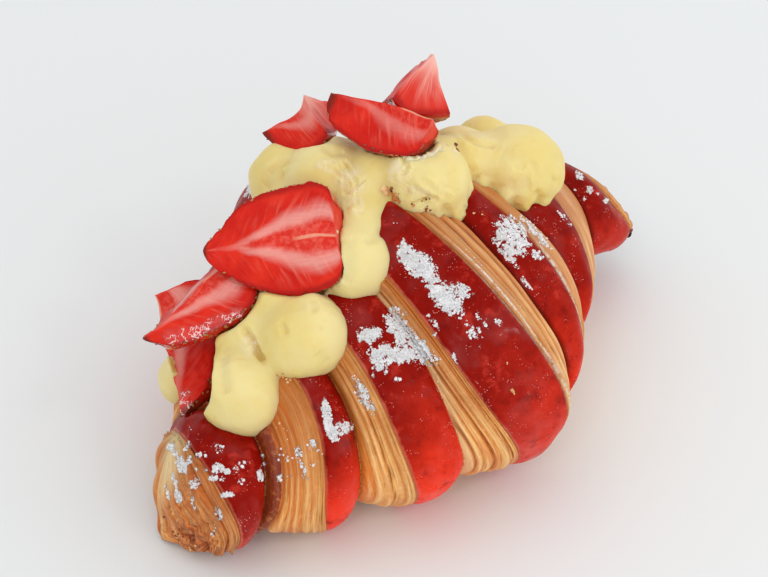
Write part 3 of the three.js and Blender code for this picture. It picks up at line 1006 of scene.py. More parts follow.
def dressed_band(band, phi):
    """Points and painted values of one band, row by row."""
    rows, t = band_rows(band, phi)
    shape = rows.shape[:2]
    flat = rows.reshape(-1, 3)
    radial = np.stack([np.zeros(len(phi)), -np.cos(phi), np.sin(phi)], axis=-1)[None]
    normal = surface_normals(rows)
    facing = np.sign(np.sum(normal * radial, axis=2).mean())
    normal = normal * facing
    ends = [ring_of(k, phi) if 0 <= k < len(EDGES) else None for k in (band - 1, band)]
    reach = {"lip": np.full(shape, 99.0), "foot": np.full(shape, 99.0), "flush": np.full(shape, 99.0)}
    for k, end in ((band - 1, ends[0]), (band, ends[1])):
        if end is not None:
            kind = "flush" if k == FLUSH else "foot" if k in FEET else "lip"
            reach[kind] = np.minimum(reach[kind], np.linalg.norm(rows - end[None], axis=2))
    lip, foot, flush = reach.values()
    step = np.linalg.norm(np.diff(rows, axis=1), axis=2)
    run = np.concatenate([np.zeros((shape[0], 1)), np.cumsum(step, axis=1)], axis=1)
    share = np.broadcast_to(t[:, None], shape)
    seed = 100 + band
    crevice = np.zeros(shape)
    tone = np.zeros(shape)
    layer = np.zeros(shape)
    if band % 2:
        rise = glazed_relief(flat, share.ravel(), lip.ravel(), foot.ravel(), seed).reshape(shape)
        rise = rise - FLUSH_CRACK * np.exp(-flush / 0.8)
        tone = np.full(shape, BRIGHT[band])
    else:
        width = np.full(shape, 20.0)
        if band == 0:
            seam = seam_points(rows)
            beside = distance_to(rows, seam)
            knot = np.linalg.norm(rows - seam[-1], axis=2)
            layer = LEFT_LAYERS * lip / (lip + beside + 0.3)
        elif band == len(EDGES):
            layer = RIGHT_LAYERS * share
        else:
            width = np.broadcast_to(np.linalg.norm(ends[1] - ends[0], axis=1)[None], shape)
            layer = LAYERS * (1 - np.exp(-lip / (LAYER_GROWTH[band] * (0.5 + 0.5 * width / width.max()))))
        rise, crevice, tone = layer_relief(layer, run, lip, np.minimum(foot, flush), seed)
        rise = rise + 0.5 * np.sin(np.pi * share) * (band not in (0, len(EDGES)))
        if band in OPEN_CRACKS:
            place, depth, wide = OPEN_CRACKS[band]
            crack = bell(foot - place, wide) * smooth_step(3.5, 6.0, width)
            rise = rise - depth * crack
            crevice = np.clip(crevice + crack, 0, 1)
        rise = rise + (-LIP_ROUND - rise) * np.exp(-lip / 0.22)
        if band == 2:
            roll = 1 - smooth_step(ROLL - 0.5, ROLL + 0.3, foot)
            rise = rise * (1 - 0.6 * roll) + 0.7 * roll * np.sin(np.pi * np.clip(foot / ROLL, 0, 1))
        rise = rise + (-CRACK - rise) * np.exp(-foot / 0.36)
        rise = rise + (-FLUSH_CRACK - rise) * np.exp(-flush / 0.28)
        if band in NARROW:
            crevice = crevice * NARROW_SHADE
        edge_shade = np.exp(-lip / 0.30) + np.exp(-foot / 0.45) + 0.3 * np.exp(-flush / 0.3)
        crevice = np.clip(crevice + edge_shade, 0, 1)
    border = np.exp(-np.minimum(np.minimum(lip, foot), flush) / 0.7)[..., None]
    aim = normal * (1 - border) + radial * border
    aim /= np.maximum(np.linalg.norm(aim, axis=2, keepdims=True), 1e-9)
    brown = np.zeros(shape)
    pale = np.zeros(shape)
    under = 1 - smooth_step(-0.1, 0.55, np.sin(phi))[None]
    glazed = np.full(shape, float(band % 2))
    if band == FLUSH + 1:
        pale = 0.65 * bell(flush, 1.8)
    if band == 2:
        brown = np.maximum(1.4 * roll, 0.16)
    if band in PALE_BANDS:
        pale = np.full(shape, PALE_BANDS[band])
    if band == 0:
        pale = bell(beside, SEAM_PALE) * smooth_step(9.0, 18.0, knot)
        rise = rise * (1.0 + 0.9 * smooth_step(2.0, 8.0, knot)) * (1 - 0.6 * pale)
        rise = rise + bell(knot, KNOBS) * (waves(flat, 2.6, 5).reshape(shape) + 0.1)
        brown = np.maximum.reduce([most * bell(knot, wide) for most, wide in BROWNS])
        brown = np.maximum(brown, 0.45) * (1 - 0.9 * pale)
    if band == len(EDGES):
        glazed = np.maximum(smooth_step(0.30, 0.34, share), (under > 0.5) * 1.0)
        rise = rise * (1 - glazed) + 0.35 * glazed * waves(flat, 3.0, 6).reshape(shape)
        brown = np.maximum(smooth_step(0.25, 0.8, share), under)
    if band == len(EDGES) - 1:
        brown = smooth_step(0.55, 1.0, share) * under
    top = station(flat[:, 0], 4) + station(flat[:, 0], 2)
    high = ((flat[:, 2] - UNDERSIDE) / (top - UNDERSIDE)).reshape(shape)
    frost = np.zeros(shape)
    for place, wide, low, up, most in FROST.get(band, []):
        line = bell(lip - place, wide) * smooth_step(low - 0.12, low + 0.12, high)
        frost = np.maximum(frost, most * line * (1 - smooth_step(up - 0.05, up + 0.05, high)))
    rise = rise * smooth_step(0.0, 2.0, flat[:, 2].reshape(shape) - UNDERSIDE + 0.6)
    if band in (0, len(EDGES)):
        pole = share if band == 0 else 1 - share
        rise = rise * smooth_step(0.0, 0.12, pole)
    placed = rows + aim * rise[..., None]
    placed[..., 2] = np.maximum(placed[..., 2], UNDERSIDE)
    painted_values = {"layer": layer, "run": run, "crevice": crevice, "tone": tone,
                      "lip": np.minimum(np.minimum(lip, flush), 20), "foot": np.minimum(foot, 20),
                      "brown": brown, "high": high, "pale": pale, "frost": frost, "glazed": glazed}
    return placed, painted_values


def pastry_surface():
    turn = np.linspace(0, 2 * np.pi, AROUND + 1)
    phi = -np.pi / 2 + turn + 0.35 * np.sin(turn)
    phi[-1] = phi[0]
    rows = []
    values = {}
    for band in range(len(EDGES) + 1):
        placed, painted_values = dressed_band(band, phi)
        rows.append(placed)
        for key, value in painted_values.items():
            values.setdefault(key, []).append(value)
    for before, after in zip(rows[:-1], rows[1:]):
        shared = (before[-1] + after[0]) / 2
        before[-1] = shared
        after[0] = shared
    points = np.concatenate(rows)
    deselect()
    bpy.ops.mesh.primitive_grid_add(x_subdivisions=AROUND, y_subdivisions=len(points) - 1, size=1)
    piece = bpy.context.object
    piece.name = "glazed_pastry"
    flat = points_of(piece) + 0.5
    column = np.round(flat[:, 0] * AROUND).astype(int)
    row = np.round(flat[:, 1] * (len(points) - 1)).astype(int)
    put_points(piece, framed(points[row, column]))
    glazed = np.concatenate(values.pop("glazed"))[row, column] > 0.5
    for key, value in values.items():
        add_attribute(piece, key, np.concatenate(value)[row, column])
    for face in piece.data.polygons:
        face.material_index = 0 if all(glazed[i] for i in face.vertices) else 1
    weld(piece, 0.004 * MM)
    only(piece)
    bpy.ops.object.shade_smooth()
    return piece


pastry = pastry_surface()
print("pastry", len(pastry.data.polygons), "faces")

# %% [markdown]
# ## Fitting the pieces together
# Soft cream gives way where firm fruit is pressed into it, and the cut dough gives way to the cream. So
# the cream's skin is pushed out from inside the fruit, and the dough's surface sinks just under the cream,
# apart from a narrow edge that stays in it, so no gap shows where the cream lies on the dough.

# %% Fruit into cream, cream into dough
CLEAR = 0.2  # gap left between two pieces
INWARD = 0.6  # the dough sinks this much towards its core
DOWNWARD = 0.4  # and this much straight down
KEPT = 0.9  # the dough still reaches this far into the cream at the cream's edge


def moved_out(piece, cover, way_of, kept=-1.0):
    """Move the piece's points that lie inside the cover along their ways, to just past its surface."""
    tree = tree_of(cover)
    points = points_of(piece)
    box = points_of(cover)
    near = np.where(np.all((points > box.min(axis=0)) & (points < box.max(axis=0)), axis=1))[0]
    moved = 0
    for i in near:
        start = Vector(points[i])
        way = way_of(i)
        hit, normal, face, distance = tree.ray_cast(start, way)
        if hit is None or normal.dot(way) < 0 or tree.find_nearest(start)[3] < kept:
            continue
        points[i] += np.array(way) * (distance + CLEAR * MM)
        moved += 1
    put_points(piece, points)
    return moved


def push_from_fruit(piece, name):
    """Move the piece's points that lie inside a berry out through its skin side."""
    way = Vector(berry_axes(name)[3])
    return moved_out(piece, fruit[name], lambda i: way)


def sink_under(piece, cover):
    """Move the piece's points that lie inside the cover down to just below it."""
    place = points_of(piece) / MM - TO_FRAME
    out = np.stack([np.zeros(len(place)), place[:, 1] - station(place[:, 0], 3),
                    place[:, 2] - station(place[:, 0], 4)], axis=1)
    out /= np.linalg.norm(out, axis=1, keepdims=True)

    def way_of(i):
        return (Vector(out[i]) * -INWARD + Vector((0, 0, -DOWNWARD))).normalized()

    return moved_out(piece, cover, way_of, KEPT * MM)


for name in fruit:
    print(name, push_from_fruit(cream, name), "cream points moved")
print(sink_under(pastry, opening), "pastry points moved")
bpy.data.objects.remove(opening)

# %% [markdown]
# The piped cream isn't perfectly round. Its ribbon is a little lumpy, it has folds where one bend lies on
# the next, fine wrinkles where the skin of the cream was stretched, and torn, matt patches where the
# nozzle dragged. The folds are lines seen in the picture, cast onto the cream and pressed in.

# %% Folds and wrinkles of the cream
# picture places along each line, width and depth in mm, height of the lip beside it
FOLDS = [
    ([(243, 328), (250, 337), (257, 347), (264, 362)], 0.9, 1.3, 0.25),
    ([(280, 322), (283, 329), (285, 336)], 0.8, 0.6, 0.15),
    ([(224, 352), (221, 366), (222, 382), (226, 396)], 1.6, 0.9, 0.1),
    ([(345, 160), (349, 168), (353, 176), (358, 186)], 0.45, 0.55, 0.3),
    ([(365, 180), (357, 186), (350, 192), (343, 194)], 0.45, 0.6, 0.3),
    ([(333, 168), (340, 176), (349, 181)], 0.5, 0.35, 0.25),
    ([(406, 161), (408, 168), (404, 175), (400, 179)], 0.5, 0.9, 0.35),
    ([(346, 238), (349, 255), (347, 272), (342, 284)], 2.0, 0.7, 0.0),
    ([(457, 138), (468, 153), (475, 171), (477, 196)], 1.0, 0.7, 0.15),
    ([(462, 133), (478, 142), (497, 147)], 0.9, 0.6, 0.15),
    ([(312, 297), (315, 305), (314, 313)], 0.8, 0.5, 0.1),
    ([(268, 175), (280, 165), (296, 160)], 0.9, 0.35, 0.15),
    ([(530, 160), (537, 168), (539, 178)], 0.7, 0.3, 0.15),
    ([(438, 183), (447, 190), (459, 192)], 0.7, 0.3, 0.15),
    ([(428, 148), (441, 160), (449, 176), (450, 192)], 2.4, 0.8, 0.0),
    ([(404, 184), (420, 197), (441, 203)], 1.8, 0.7, 0.1),
    ([(478, 176), (495, 186), (517, 189), (534, 184)], 2.2, 0.7, 0.1),
    ([(500, 150), (518, 158), (527, 170)], 2.0, 0.6, 0.0),
    ([(491, 192), (494, 208)], 1.0, 0.9, 0.0), ([(513, 196), (517, 212)], 1.3, 0.8, 0.0),
    ([(536, 190), (543, 204)], 1.1, 0.9, 0.0), ([(552, 178), (562, 186)], 0.9, 0.7, 0.0),
    ([(468, 203), (466, 216)], 1.0, 0.9, 0.0), ([(447, 204), (445, 217)], 1.2, 0.9, 0.0),
    ([(427, 198), (422, 212)], 1.0, 0.9, 0.0), ([(408, 190), (402, 202)], 0.8, 0.8, 0.0),
    ([(385, 232), (372, 240), (362, 243)], 1.0, 0.5, 0.1), ([(318, 352), (330, 366)], 1.4, 0.4, 0.0),
    ([(264, 190), (272, 178), (286, 170)], 1.8, 0.6, 0.1),
    ([(322, 145), (334, 152), (348, 150)], 1.2, 0.5, 0.15),
    ([(411, 203), (421, 203), (431, 198)], 0.45, 0.8, 0.2),
    ([(420, 178), (436, 190), (452, 199)], 0.7, 0.35, 0.2),
    ([(412, 186), (428, 196), (440, 201)], 0.6, 0.3, 0.15),
    ([(400, 152), (404, 160), (402, 168)], 0.5, 0.7, 0.3),
]
# matt, dragged patches: picture place, half length, half width, turn in degrees
DRAGGED = [(350, 178, 18, 14, 50), (398, 172, 11, 12, 0), (330, 166, 14, 7, 10), (418, 193, 14, 6, 20),
           (356, 205, 8, 12, 0), (455, 145, 9, 6, 30), (250, 345, 9, 12, 30)]


def line_on(tree, places, step=1.2):
    """Points on the surface under a line drawn in the picture."""
    found = []
    for (ax, ay), (bx, by) in zip(places[:-1], places[1:]):
        count = max(2, int(math.hypot(bx - ax, by - ay) / step))
        for k in range(count):
            hit = seen(tree, ax + (bx - ax) * k / count, ay + (by - ay) * k / count)[0]
            if hit is not None:
                found.append(hit)
    return found


def shape_cream(piece):
    points = points_of(piece)
    normals = normals_of(piece)
    rise = uneven(points / MM, (0.42, 15.0, 61), (0.14, 5.5, 62), (0.035, 1.9, 63, 9))
    tree = tree_of(piece)
    search = search_tree(points)
    for places, width, depth, lip in FOLDS:
        line = line_on(tree, places)
        gap = {}
        for n, hit in enumerate(line):
            fade = min(1.0, 0.25 + n / 4, 0.25 + (len(line) - 1 - n) / 4)
            for _, i, distance in search.find_range(hit, width * 3.2 * MM):
                if i not in gap or distance < gap[i][0]:
                    gap[i] = (distance, fade)
        for i, (distance, fade) in gap.items():
            d = distance / (width * MM)
            rise[i] += fade * (lip * math.exp(-((d - 1.7) ** 2) * 1.6) - depth * math.exp(-d * d))
    dragged = np.zeros(len(points))
    size = DISTANCE * MM / FOCAL
    for px, py, half_long, half_wide, angle in DRAGGED:
        hit = seen(tree, px, py)[0]
        if hit is None:
            continue
        reach = max(half_long, half_wide) * size * 1.6
        for i, share in oval(search, hit, *picture_axes(angle), half_long * size, half_wide * size, reach):
            dragged[i] = max(dragged[i], 1 - smooth_step(0.5, 1.25, share))
    torn = uneven(points / MM, (0.13, 1.5, 64, 9), (0.16, 3.2, 65))
    dough = tree_of(pastry)
    gaps = np.array([dough.find_nearest(Vector(p), 3.0 * MM)[3] or (9 * MM) for p in points])
    beside = 1 - smooth_step(0.4, 2.8, gaps / MM)
    beside *= 0.12 + 0.88 * smooth_step(-12.0, -3.0, points[:, 0] / MM - TO_FRAME[0])
    ragged = beside * uneven(points / MM, (0.55, 4.2, 66), (0.12, 1.8, 67, 9))
    put_points(piece, points + normals * ((rise + torn * dragged + ragged) * MM)[:, None])
    add_attribute(piece, "dragged", dragged)


def creases(piece, steps=36, full=0.9):
    """How deep in a crease every point lies: how far the surface round it stands above it."""
    points = points_of(piece)
    pairs = np.zeros(len(piece.data.edges) * 2, int)
    piece.data.edges.foreach_get("vertices", pairs)
    a, b = pairs.reshape(-1, 2).T
    count = len(points)
    shares = np.bincount(a, minlength=count) + np.bincount(b, minlength=count)
    smooth = points.copy()
    for _ in range(steps):
        total = np.stack([np.bincount(a, smooth[b, k], count) + np.bincount(b, smooth[a, k], count)
                          for k in range(3)], axis=1)
        smooth = total / np.maximum(shares, 1)[:, None]
    height = np.sum((smooth - points) * normals_of(piece), axis=1) / MM
    return np.clip(height / full, 0, 1)


shape_cream(cream)
for name in fruit:
    push_from_fruit(cream, name)
# how deep each point lies in a crease; the finish uses it to paint shade into the creases
add_attribute(cream, "crease", creases(cream))
print("cream shaped, deepest crease", round(float(attribute_of(cream, "crease").max()), 2))

# %% [markdown]
# ## Icing sugar
# The sugar was dusted dry over the baked skin and clings in ragged patches, thick in the middle and
# thinning to single grains. The patches are laid where the eye sees them: every patch is an oval in the
# picture that is cast onto the dough, and the back gets a few patches of its own. The dough remembers how
# much sugar lies on it, for the thin veil, and the thick parts are heaped with small lumps.

# %% Where the sugar lies
# picture place, half length, half width, turn in degrees (clockwise), cover
SUGAR = [
    (418, 264, 24, 11.5, 40, 0.97), (445, 298, 24, 10.5, 45, 0.95), (460, 290, 12, 6, 20, 0.95),
    (404, 252, 13, 4, 85, 0.95), (474, 332, 14, 6, 60, 0.5), (478.5, 316.5, 3.5, 3.5, 0, 0.7),
    (485, 325, 1.5, 1.5, 0, 0.9), (498, 322, 2, 2, 0, 0.9), (499, 334, 2.5, 2.5, 0, 0.5),
    (392, 223, 9, 3, 10, 0.2), (512, 236.5, 22, 17, 60, 0.85), (536.4, 254.7, 7, 3.5, 30, 0.8),
    (505, 252, 20, 4, 50, 0.75), (526, 283, 9, 2.2, 53, 0.75), (536, 233, 22, 4, 47, 0.85),
    (564.5, 219, 11, 2, 45, 0.6), (487, 271, 58, 1.3, 46, 0.25), (437.5, 386, 12, 2.5, 75, 0.3),
    (369.6, 334.5, 13, 8, 0, 0.95), (400.4, 330.8, 22, 10, 50, 0.95), (394.5, 354.3, 25, 9, 5, 0.95),
    (379.9, 361.6, 10, 8, 0, 0.95), (421, 350, 17, 8, 60, 0.95), (435.6, 357, 10, 4, 50, 0.4),
    (396, 313, 9, 6, 0, 0.6), (397.5, 379.2, 3.5, 3.5, 0, 0.9), (385.7, 373.3, 2, 2, 0, 0.9),
    (373.3, 375.5, 1.5, 1.5, 0, 0.9), (433.4, 322.4, 12, 2.2, 52, 0.7), (455.4, 359.4, 7, 2, 60, 0.7),
    (434.9, 334.5, 2.5, 2.5, 0, 0.7), (438.5, 364.5, 2, 2, 0, 0.5), (363, 395.3, 21, 6.5, 63, 0.7),
    (326, 408, 8, 4, 70, 0.9), (329, 425, 14, 5, 75, 0.9), (341, 428, 13, 6, -10, 0.9),
    (335, 437, 5, 5, 0, 0.8), (284.3, 455.1, 9, 7, 0, 0.35), (298, 450.5, 5, 6, 0, 0.6),
    (302.7, 467.7, 8, 3, 80, 0.8), (311.9, 445.3, 4.5, 4.5, 0, 0.8), (299.2, 458.5, 5, 5, 0, 0.4),
    (279.7, 478.6, 3.5, 3.5, 0, 0.8), (288.9, 477.5, 3, 3, 0, 0.5), (312.4, 464.9, 3, 3, 0, 0.5),
    (321, 449.4, 5, 5, 0, 0.5), (308, 479, 2.5, 2.5, 0, 0.4), (314.2, 441.3, 4, 4, 0, 0.5),
    (260.2, 475.8, 6, 2.5, 75, 0.9), (263.6, 464.3, 2, 2, 0, 0.6), (263, 456, 1.5, 1.5, 0, 0.6),
    (189.6, 428.7, 4, 2.5, 0, 0.5), (198.2, 429.8, 1.5, 1.5, 0, 0.4), (188.5, 444.2, 4, 2.5, -60, 0.6),
    (185.6, 448.8, 2, 2, 0, 0.6), (198.8, 455.1, 3.5, 2.5, 0, 0.8), (206.2, 454, 2.5, 2.5, 0, 0.5),
    (220, 449.4, 5.5, 4, 80, 0.5), (216, 467.7, 5.5, 4, -60, 0.95), (221.2, 468.9, 3, 3, 0, 0.9),
    (226.9, 471.2, 4, 2.5, 0, 0.9), (235, 468.9, 4, 4, 0, 0.4), (242.4, 464.9, 4, 4, 0, 0.5),
    (213.7, 478.1, 4.5, 3, 0, 0.9), (222.3, 478.6, 2, 2, 0, 0.7), (206.2, 468.9, 2, 2, 0, 0.7),
    (241.8, 481.5, 2.5, 2.5, 0, 0.4), (227.5, 494.7, 6.5, 3, -10, 0.95), (171.2, 447.1, 5, 4, 0, 0.9),
    (176.4, 455.1, 7, 2.5, 65, 0.8), (182.1, 465.4, 9, 4.5, 65, 0.95), (189, 459.7, 4, 4, 0, 0.9),
    (174.7, 480.4, 7, 2, 75, 0.9), (178.7, 495.3, 9, 3.3, 75, 0.95), (194.8, 482.6, 5.5, 5.5, 0, 0.95),
    (167.8, 491.8, 8, 1.5, 75, 0.7), (193.6, 502.2, 10, 1.8, 75, 0.6), (218.3, 513.6, 8, 3.5, 70, 0.8),
    (214.3, 526.3, 2.5, 2.5, 0, 0.5), (213.1, 533.7, 3.5, 3.5, 0, 0.6), (196, 468.9, 1.5, 1.5, 0, 0.6),
    (574, 166, 5, 3, 30, 0.6), (579, 175.2, 5, 3.5, 30, 0.8), (570.7, 162.7, 6, 2, 35, 0.6),
    (589.8, 190.1, 3, 3, 0, 0.9), (597.2, 194.2, 2, 2, 0, 0.7), (574, 190.1, 1.5, 1.5, 0, 0.6),
    (584.8, 198.4, 2, 2, 0, 0.6), (606.4, 200.9, 3, 3, 0, 0.8), (592.3, 172.7, 8, 2.5, 40, 0.5),
]
# patches on the back: place on the body (x, angle in degrees from the front), half sizes in mm, cover
BACK_SUGAR = [(-40, 138, 5.0, 3.2, 0.9), (-16, 150, 6.5, 3.4, 0.95), (8, 140, 4.5, 2.6, 0.85),
              (-52, 128, 3.2, 2.2, 0.6), (30, 132, 3.6, 2.0, 0.7), (-5, 162, 3.0, 2.0, 0.5)]
FRINGE = 0.25  # a patch thins out this far past its oval
OUTSIDE = 0.12  # the back's patches are laid from this far away, in metres


def sugar_cover(piece):
    """How much sugar lies on every point of the pastry, and the frames of the patches."""
    tree = tree_of(piece, cream, *fruit.values())
    pastry_faces = len(piece.data.polygons)
    points = points_of(piece)
    cover = np.zeros(len(points))
    search = search_tree(points)
    patches = []
    for px, py, half_long, half_wide, angle, amount in SUGAR:
        hit, normal, face, distance, aim = seen(tree, px, py)
        if hit is None or face >= pastry_faces:
            continue
        scale = distance / FOCAL
        patches.append((hit, *picture_axes(angle), half_long * scale, half_wide * scale, amount, aim))
    for x, angle, half_long, half_wide, amount in BACK_SUGAR:
        angle = math.radians(angle)
        out = Vector((0, -math.cos(angle), math.sin(angle)))
        middle = Vector((x, station(x, 3), station(x, 4))) + Vector(TO_FRAME)
        start = middle * MM + out * OUTSIDE
        hit, normal, face, distance = tree.ray_cast(start, -out)
        if hit is None or face >= pastry_faces:
            continue
        wide = Vector((1, 0, 0))
        long = out.cross(wide)
        patches.append((hit, long, wide, half_long * MM, half_wide * MM, amount, -out))
    for hit, long, wide, half_long, half_wide, amount, aim in patches:
        reach = max(half_long, half_wide) * 1.6 + 1.2 * MM
        sizes = (half_long + FRINGE * MM, half_wide + FRINGE * MM)
        for i, share in oval(search, hit, long, wide, *sizes, reach * 1.6):
            cover[i] = max(cover[i], amount * (1 - smooth_step(0.55, 1.35, share)))
    add_attribute(piece, "sugar", cover)
    return patches


patches = sugar_cover(pastry)
print(len(patches), "patches of sugar")

# %% [markdown]
# Sugar heaps are made of small lumps: tiny balls and chips of two sizes, turned and squashed at random,
# a few dozen faces at most each, scattered over the thick parts of the patches and joined into one piece.

# %% Lumps of sugar
LUMP_COUNT = 10500
LUMP_SIZE = (0.10, 0.40)  # half sizes
BALL_FROM = 0.24  # larger lumps are balls, smaller ones chips
BEFORE = 0.02  # a lump is dropped from this far in front of its patch, in metres
BEYOND = 0.03  # and is lost when it falls further than this


def scatter_piece(name, grains, seed, squash=0.7):
    """Many small shapes (place, normal, size and kind), turned at random, joined into one mesh."""
    draw = np.random.default_rng(seed)
    shapes = {"ball": shape_of(bpy.ops.mesh.primitive_uv_sphere_add, segments=7, ring_count=5, radius=1),
              "chip": shape_of(bpy.ops.mesh.primitive_cube_add, size=1.3)}
    points = []
    polygons = []
    first = 0
    for place, normal, size, kind in grains:
        shape, faces = shapes[kind]
        a = draw.normal(size=3)
        a -= normal * np.dot(a, normal)
        a /= np.linalg.norm(a)
        b = np.cross(normal, a)
        jitter = 1 + draw.uniform(-0.24, 0.24, len(shape))[:, None]
        local = shape * jitter * size
        stretch = draw.uniform(0.8, 1.25)
        points.append(place + np.outer(local[:, 0] * stretch, a) + np.outer(local[:, 1], b)
                      + np.outer(local[:, 2] * squash, normal))
        polygons += [[first + k for k in face] for face in faces]
        first += len(shape)
    return built(name, points, polygons)


def sugar_lumps(piece):
    draw = np.random.default_rng(21)
    tree = tree_of(piece)
    areas = np.array([patch[3] * patch[4] * patch[5] ** 2 for patch in patches])
    chosen = draw.choice(len(patches), LUMP_COUNT, p=areas / areas.sum())
    spots = []
    for k in chosen:
        hit, long, wide, half_long, half_wide, amount, aim = patches[k]
        radius = math.sqrt(draw.uniform(0, 1.25))
        angle = draw.uniform(0, 2 * math.pi)
        spot = hit + long * (half_long * radius * math.cos(angle))
        spot = spot + wide * (half_wide * radius * math.sin(angle))
        found, normal, face, distance = tree.ray_cast(spot - aim * BEFORE, aim)
        if found is not None and distance <= BEYOND:
            spots.append((found, normal, 1.25 - radius * radius))
    points = np.array([spot[0] for spot in spots]) / MM
    clumps = uneven(points, (1.0, 2.0, 31), (0.8, 1.0, 32))
    grains = []
    for (found, normal, core), clump in zip(spots, clumps):
        if clump > 0.1 - 0.9 * (core - 0.35):
            size = LUMP_SIZE[0] + (LUMP_SIZE[1] - LUMP_SIZE[0]) * draw.uniform() ** 3.0
            size *= 0.75 + 0.35 * core
            normal = np.array(normal)
            place = np.array(found) + normal * size * 0.35 * MM
            grains.append((place, normal, size * MM, "ball" if size > BALL_FROM else "chip"))
    return scatter_piece("icing_sugar", grains, 22)


sugar = sugar_lumps(pastry)
print("sugar", len(sugar.data.polygons), "faces")

# %% [markdown]
# ## Crumbs and smears
# Where the cream was piped over the cut edge of the dough, flakes and crumbs of pastry stick out from
# under it, a few golden and most of them baked brown. Cream was also smeared on the fruit that was pressed
# into it. The crumbs are small chips and balls, squashed and turned at random, and the smears are small
# flat lobes joined and smoothed like the cream.

# %% Crumbs of pastry
# picture places from and to, number, spread in pixels, smallest and largest half size in mm
BROWN_CRUMBS = [((388, 186), (400, 199), 7, 1.2, 0.16, 0.45), ((411, 204), (431, 199), 7, 0.5, 0.12, 0.30),
                ((453, 142), (460, 150), 9, 0.8, 0.16, 0.40), ((424, 206), (429, 211), 5, 1.2, 0.2, 0.5),
                ((353, 186), (358, 190), 2, 0.6, 0.1, 0.2), ((478, 212), (500, 212), 3, 1.4, 0.1, 0.2),
                ((160, 520), (200, 552), 14, 4.0, 0.15, 0.45)]
GOLD_CRUMBS = [((384, 188), (398, 200), 18, 1.6, 0.25, 0.75), ((398, 200), (414, 205), 6, 1.0, 0.2, 0.5),
               ((278, 374), (300, 386), 9, 2.2, 0.2, 0.55), ((512, 388), (514, 396), 4, 0.5, 0.2, 0.5),
               ((505, 362), (509, 366), 2, 0.8, 0.2, 0.35), ((466, 214), (484, 214), 3, 1.0, 0.15, 0.3),
               ((270, 420), (296, 440), 7, 6.0, 0.12, 0.3), ((165, 530), (205, 550), 12, 4.0, 0.15, 0.4)]
CHIPS = 0.6  # share of the crumbs that are chips


def crumbs_piece(name, rows, seed):
    draw = np.random.default_rng(seed)
    tree = tree_of(pastry, cream)
    found = []
    for start, end, count, spread, small, large in rows:
        for _ in range(count):
            share = draw.uniform()
            px = start[0] + (end[0] - start[0]) * share + draw.normal(0, spread)
            py = start[1] + (end[1] - start[1]) * share + draw.normal(0, spread)
            hit, normal, face, distance, aim = seen(tree, px, py)
            if hit is None:
                continue
            size = draw.uniform(small, large) * MM
            normal = np.array(normal)
            found.append((np.array(hit) + normal * size * 0.15, normal, size))
    grains = [(*crumb, "chip" if draw.uniform() < CHIPS else "ball") for crumb in found]
    return scatter_piece(name, grains, seed + 1, squash=0.42)


brown_crumbs = crumbs_piece("brown_crumbs", BROWN_CRUMBS, 51)
gold_crumbs = crumbs_piece("golden_crumbs", GOLD_CRUMBS, 53)
print("crumbs", len(brown_crumbs.data.polygons) + len(gold_crumbs.data.polygons), "faces")

# %% Cream smeared on the fruit
# picture place and half size in mm
SMEARS = [(437, 143, 0.7), (438, 148, 1.0), (434, 152, 1.0), (429, 155, 1.1), (424, 157, 0.8),
          (417, 158, 0.7), (410, 158, 0.7), (405, 157, 0.6), (413, 159, 0.5), (441, 150, 0.6),
          (337, 232, 0.4)]


def smears_piece():
    draw = np.random.default_rng(71)
    tree = tree_of(cream, *fruit.values())
    lumps = []
    for px, py, half in SMEARS:
        hit, normal, face, distance, aim = seen(tree, px, py)
        if hit is None:
            continue
        place = np.array(hit) / MM - TO_FRAME - np.array(normal) * half * 0.25
        sizes = (half * draw.uniform(0.9, 1.5), half * draw.uniform(0.7, 1.2), half * 0.75)
        lumps.append(lobe(place, sizes))
    smears = joined(lumps)
    smears.name = "smeared_cream"
    only(smears)
    bpy.ops.object.transform_apply(location=True, rotation=True, scale=True)
    apply_modifier(smears, "REMESH", mode="VOXEL", voxel_size=0.2 * MM)
    points = points_of(smears)
    rise = uneven(points / MM, (0.16, 1.5, 72), (0.06, 0.7, 73))
    put_points(smears, points + normals_of(smears) * (rise * MM)[:, None])
    apply_modifier(smears, "SMOOTH", factor=0.5, iterations=2)
    add_attribute(smears, "dragged", np.ones(len(smears.data.vertices)))
    add_attribute(smears, "crease", np.zeros(len(smears.data.vertices)))
    smears.data.materials.clear()
    return smears


smears = smears_piece()
print("smears", len(smears.data.polygons), "faces")

# %% [markdown]
# ## Finishes
# The red skin is a coloured dough layer, baked and brushed with syrup: deep red, a little cloudy and
# speckled, with a soft shine. The cut layers are plain dough, pale gold on their ridges and browner in the
# gaps. The cream is matt to silky and lets light in. Fruit is wet and glossy, and sugar is dry and white.

# %% Effects used by more than one finish
class Effect(Recipe):
    """A node group that finishes share, with named inputs (a vector has no number) and outputs."""

    def __init__(self, name, inputs, outputs):
        super().__init__(bpy.data.node_groups.new(name, "ShaderNodeTree"))
        for label, number in inputs.items():
            kind = "NodeSocketVector" if number is None else "NodeSocketFloat"
            made = self.tree.interface.new_socket(label, in_out="INPUT", socket_type=kind)
            if number is not None:
                made.default_value = number
        for label in outputs:
            self.tree.interface.new_socket(label, in_out="OUTPUT", socket_type="NodeSocketFloat")
        entry = self.tree.nodes.new("NodeGroupInput").outputs
        self.given = {label: Value(self, entry[label]) for label in inputs}
        self.place = self.given["Place"]
        self.leave = self.tree.nodes.new("NodeGroupOutput").inputs


SUGAR_WHITE = (0.86, 0.85, 0.86)
dusting = Effect("sugar dusting", {"Place": None, "Cover": 0.0}, ["Veil", "Height"])
cover = dusting.given["Cover"]
ragged = dusting.noise(620, 5, 0.70) * 2.6 + dusting.noise(2200, 3, 0.65) * 0.9
level = cover * 0.82 + (ragged - 1.75)
held = level.grade(0.52, 0.66) * cover.grade(0.02, 0.12)
dusting.fill(dusting.leave["Veil"], held)
dusting.fill(dusting.leave["Height"], held * level.grade(0.5, 1.6, 0.3, 1.0))

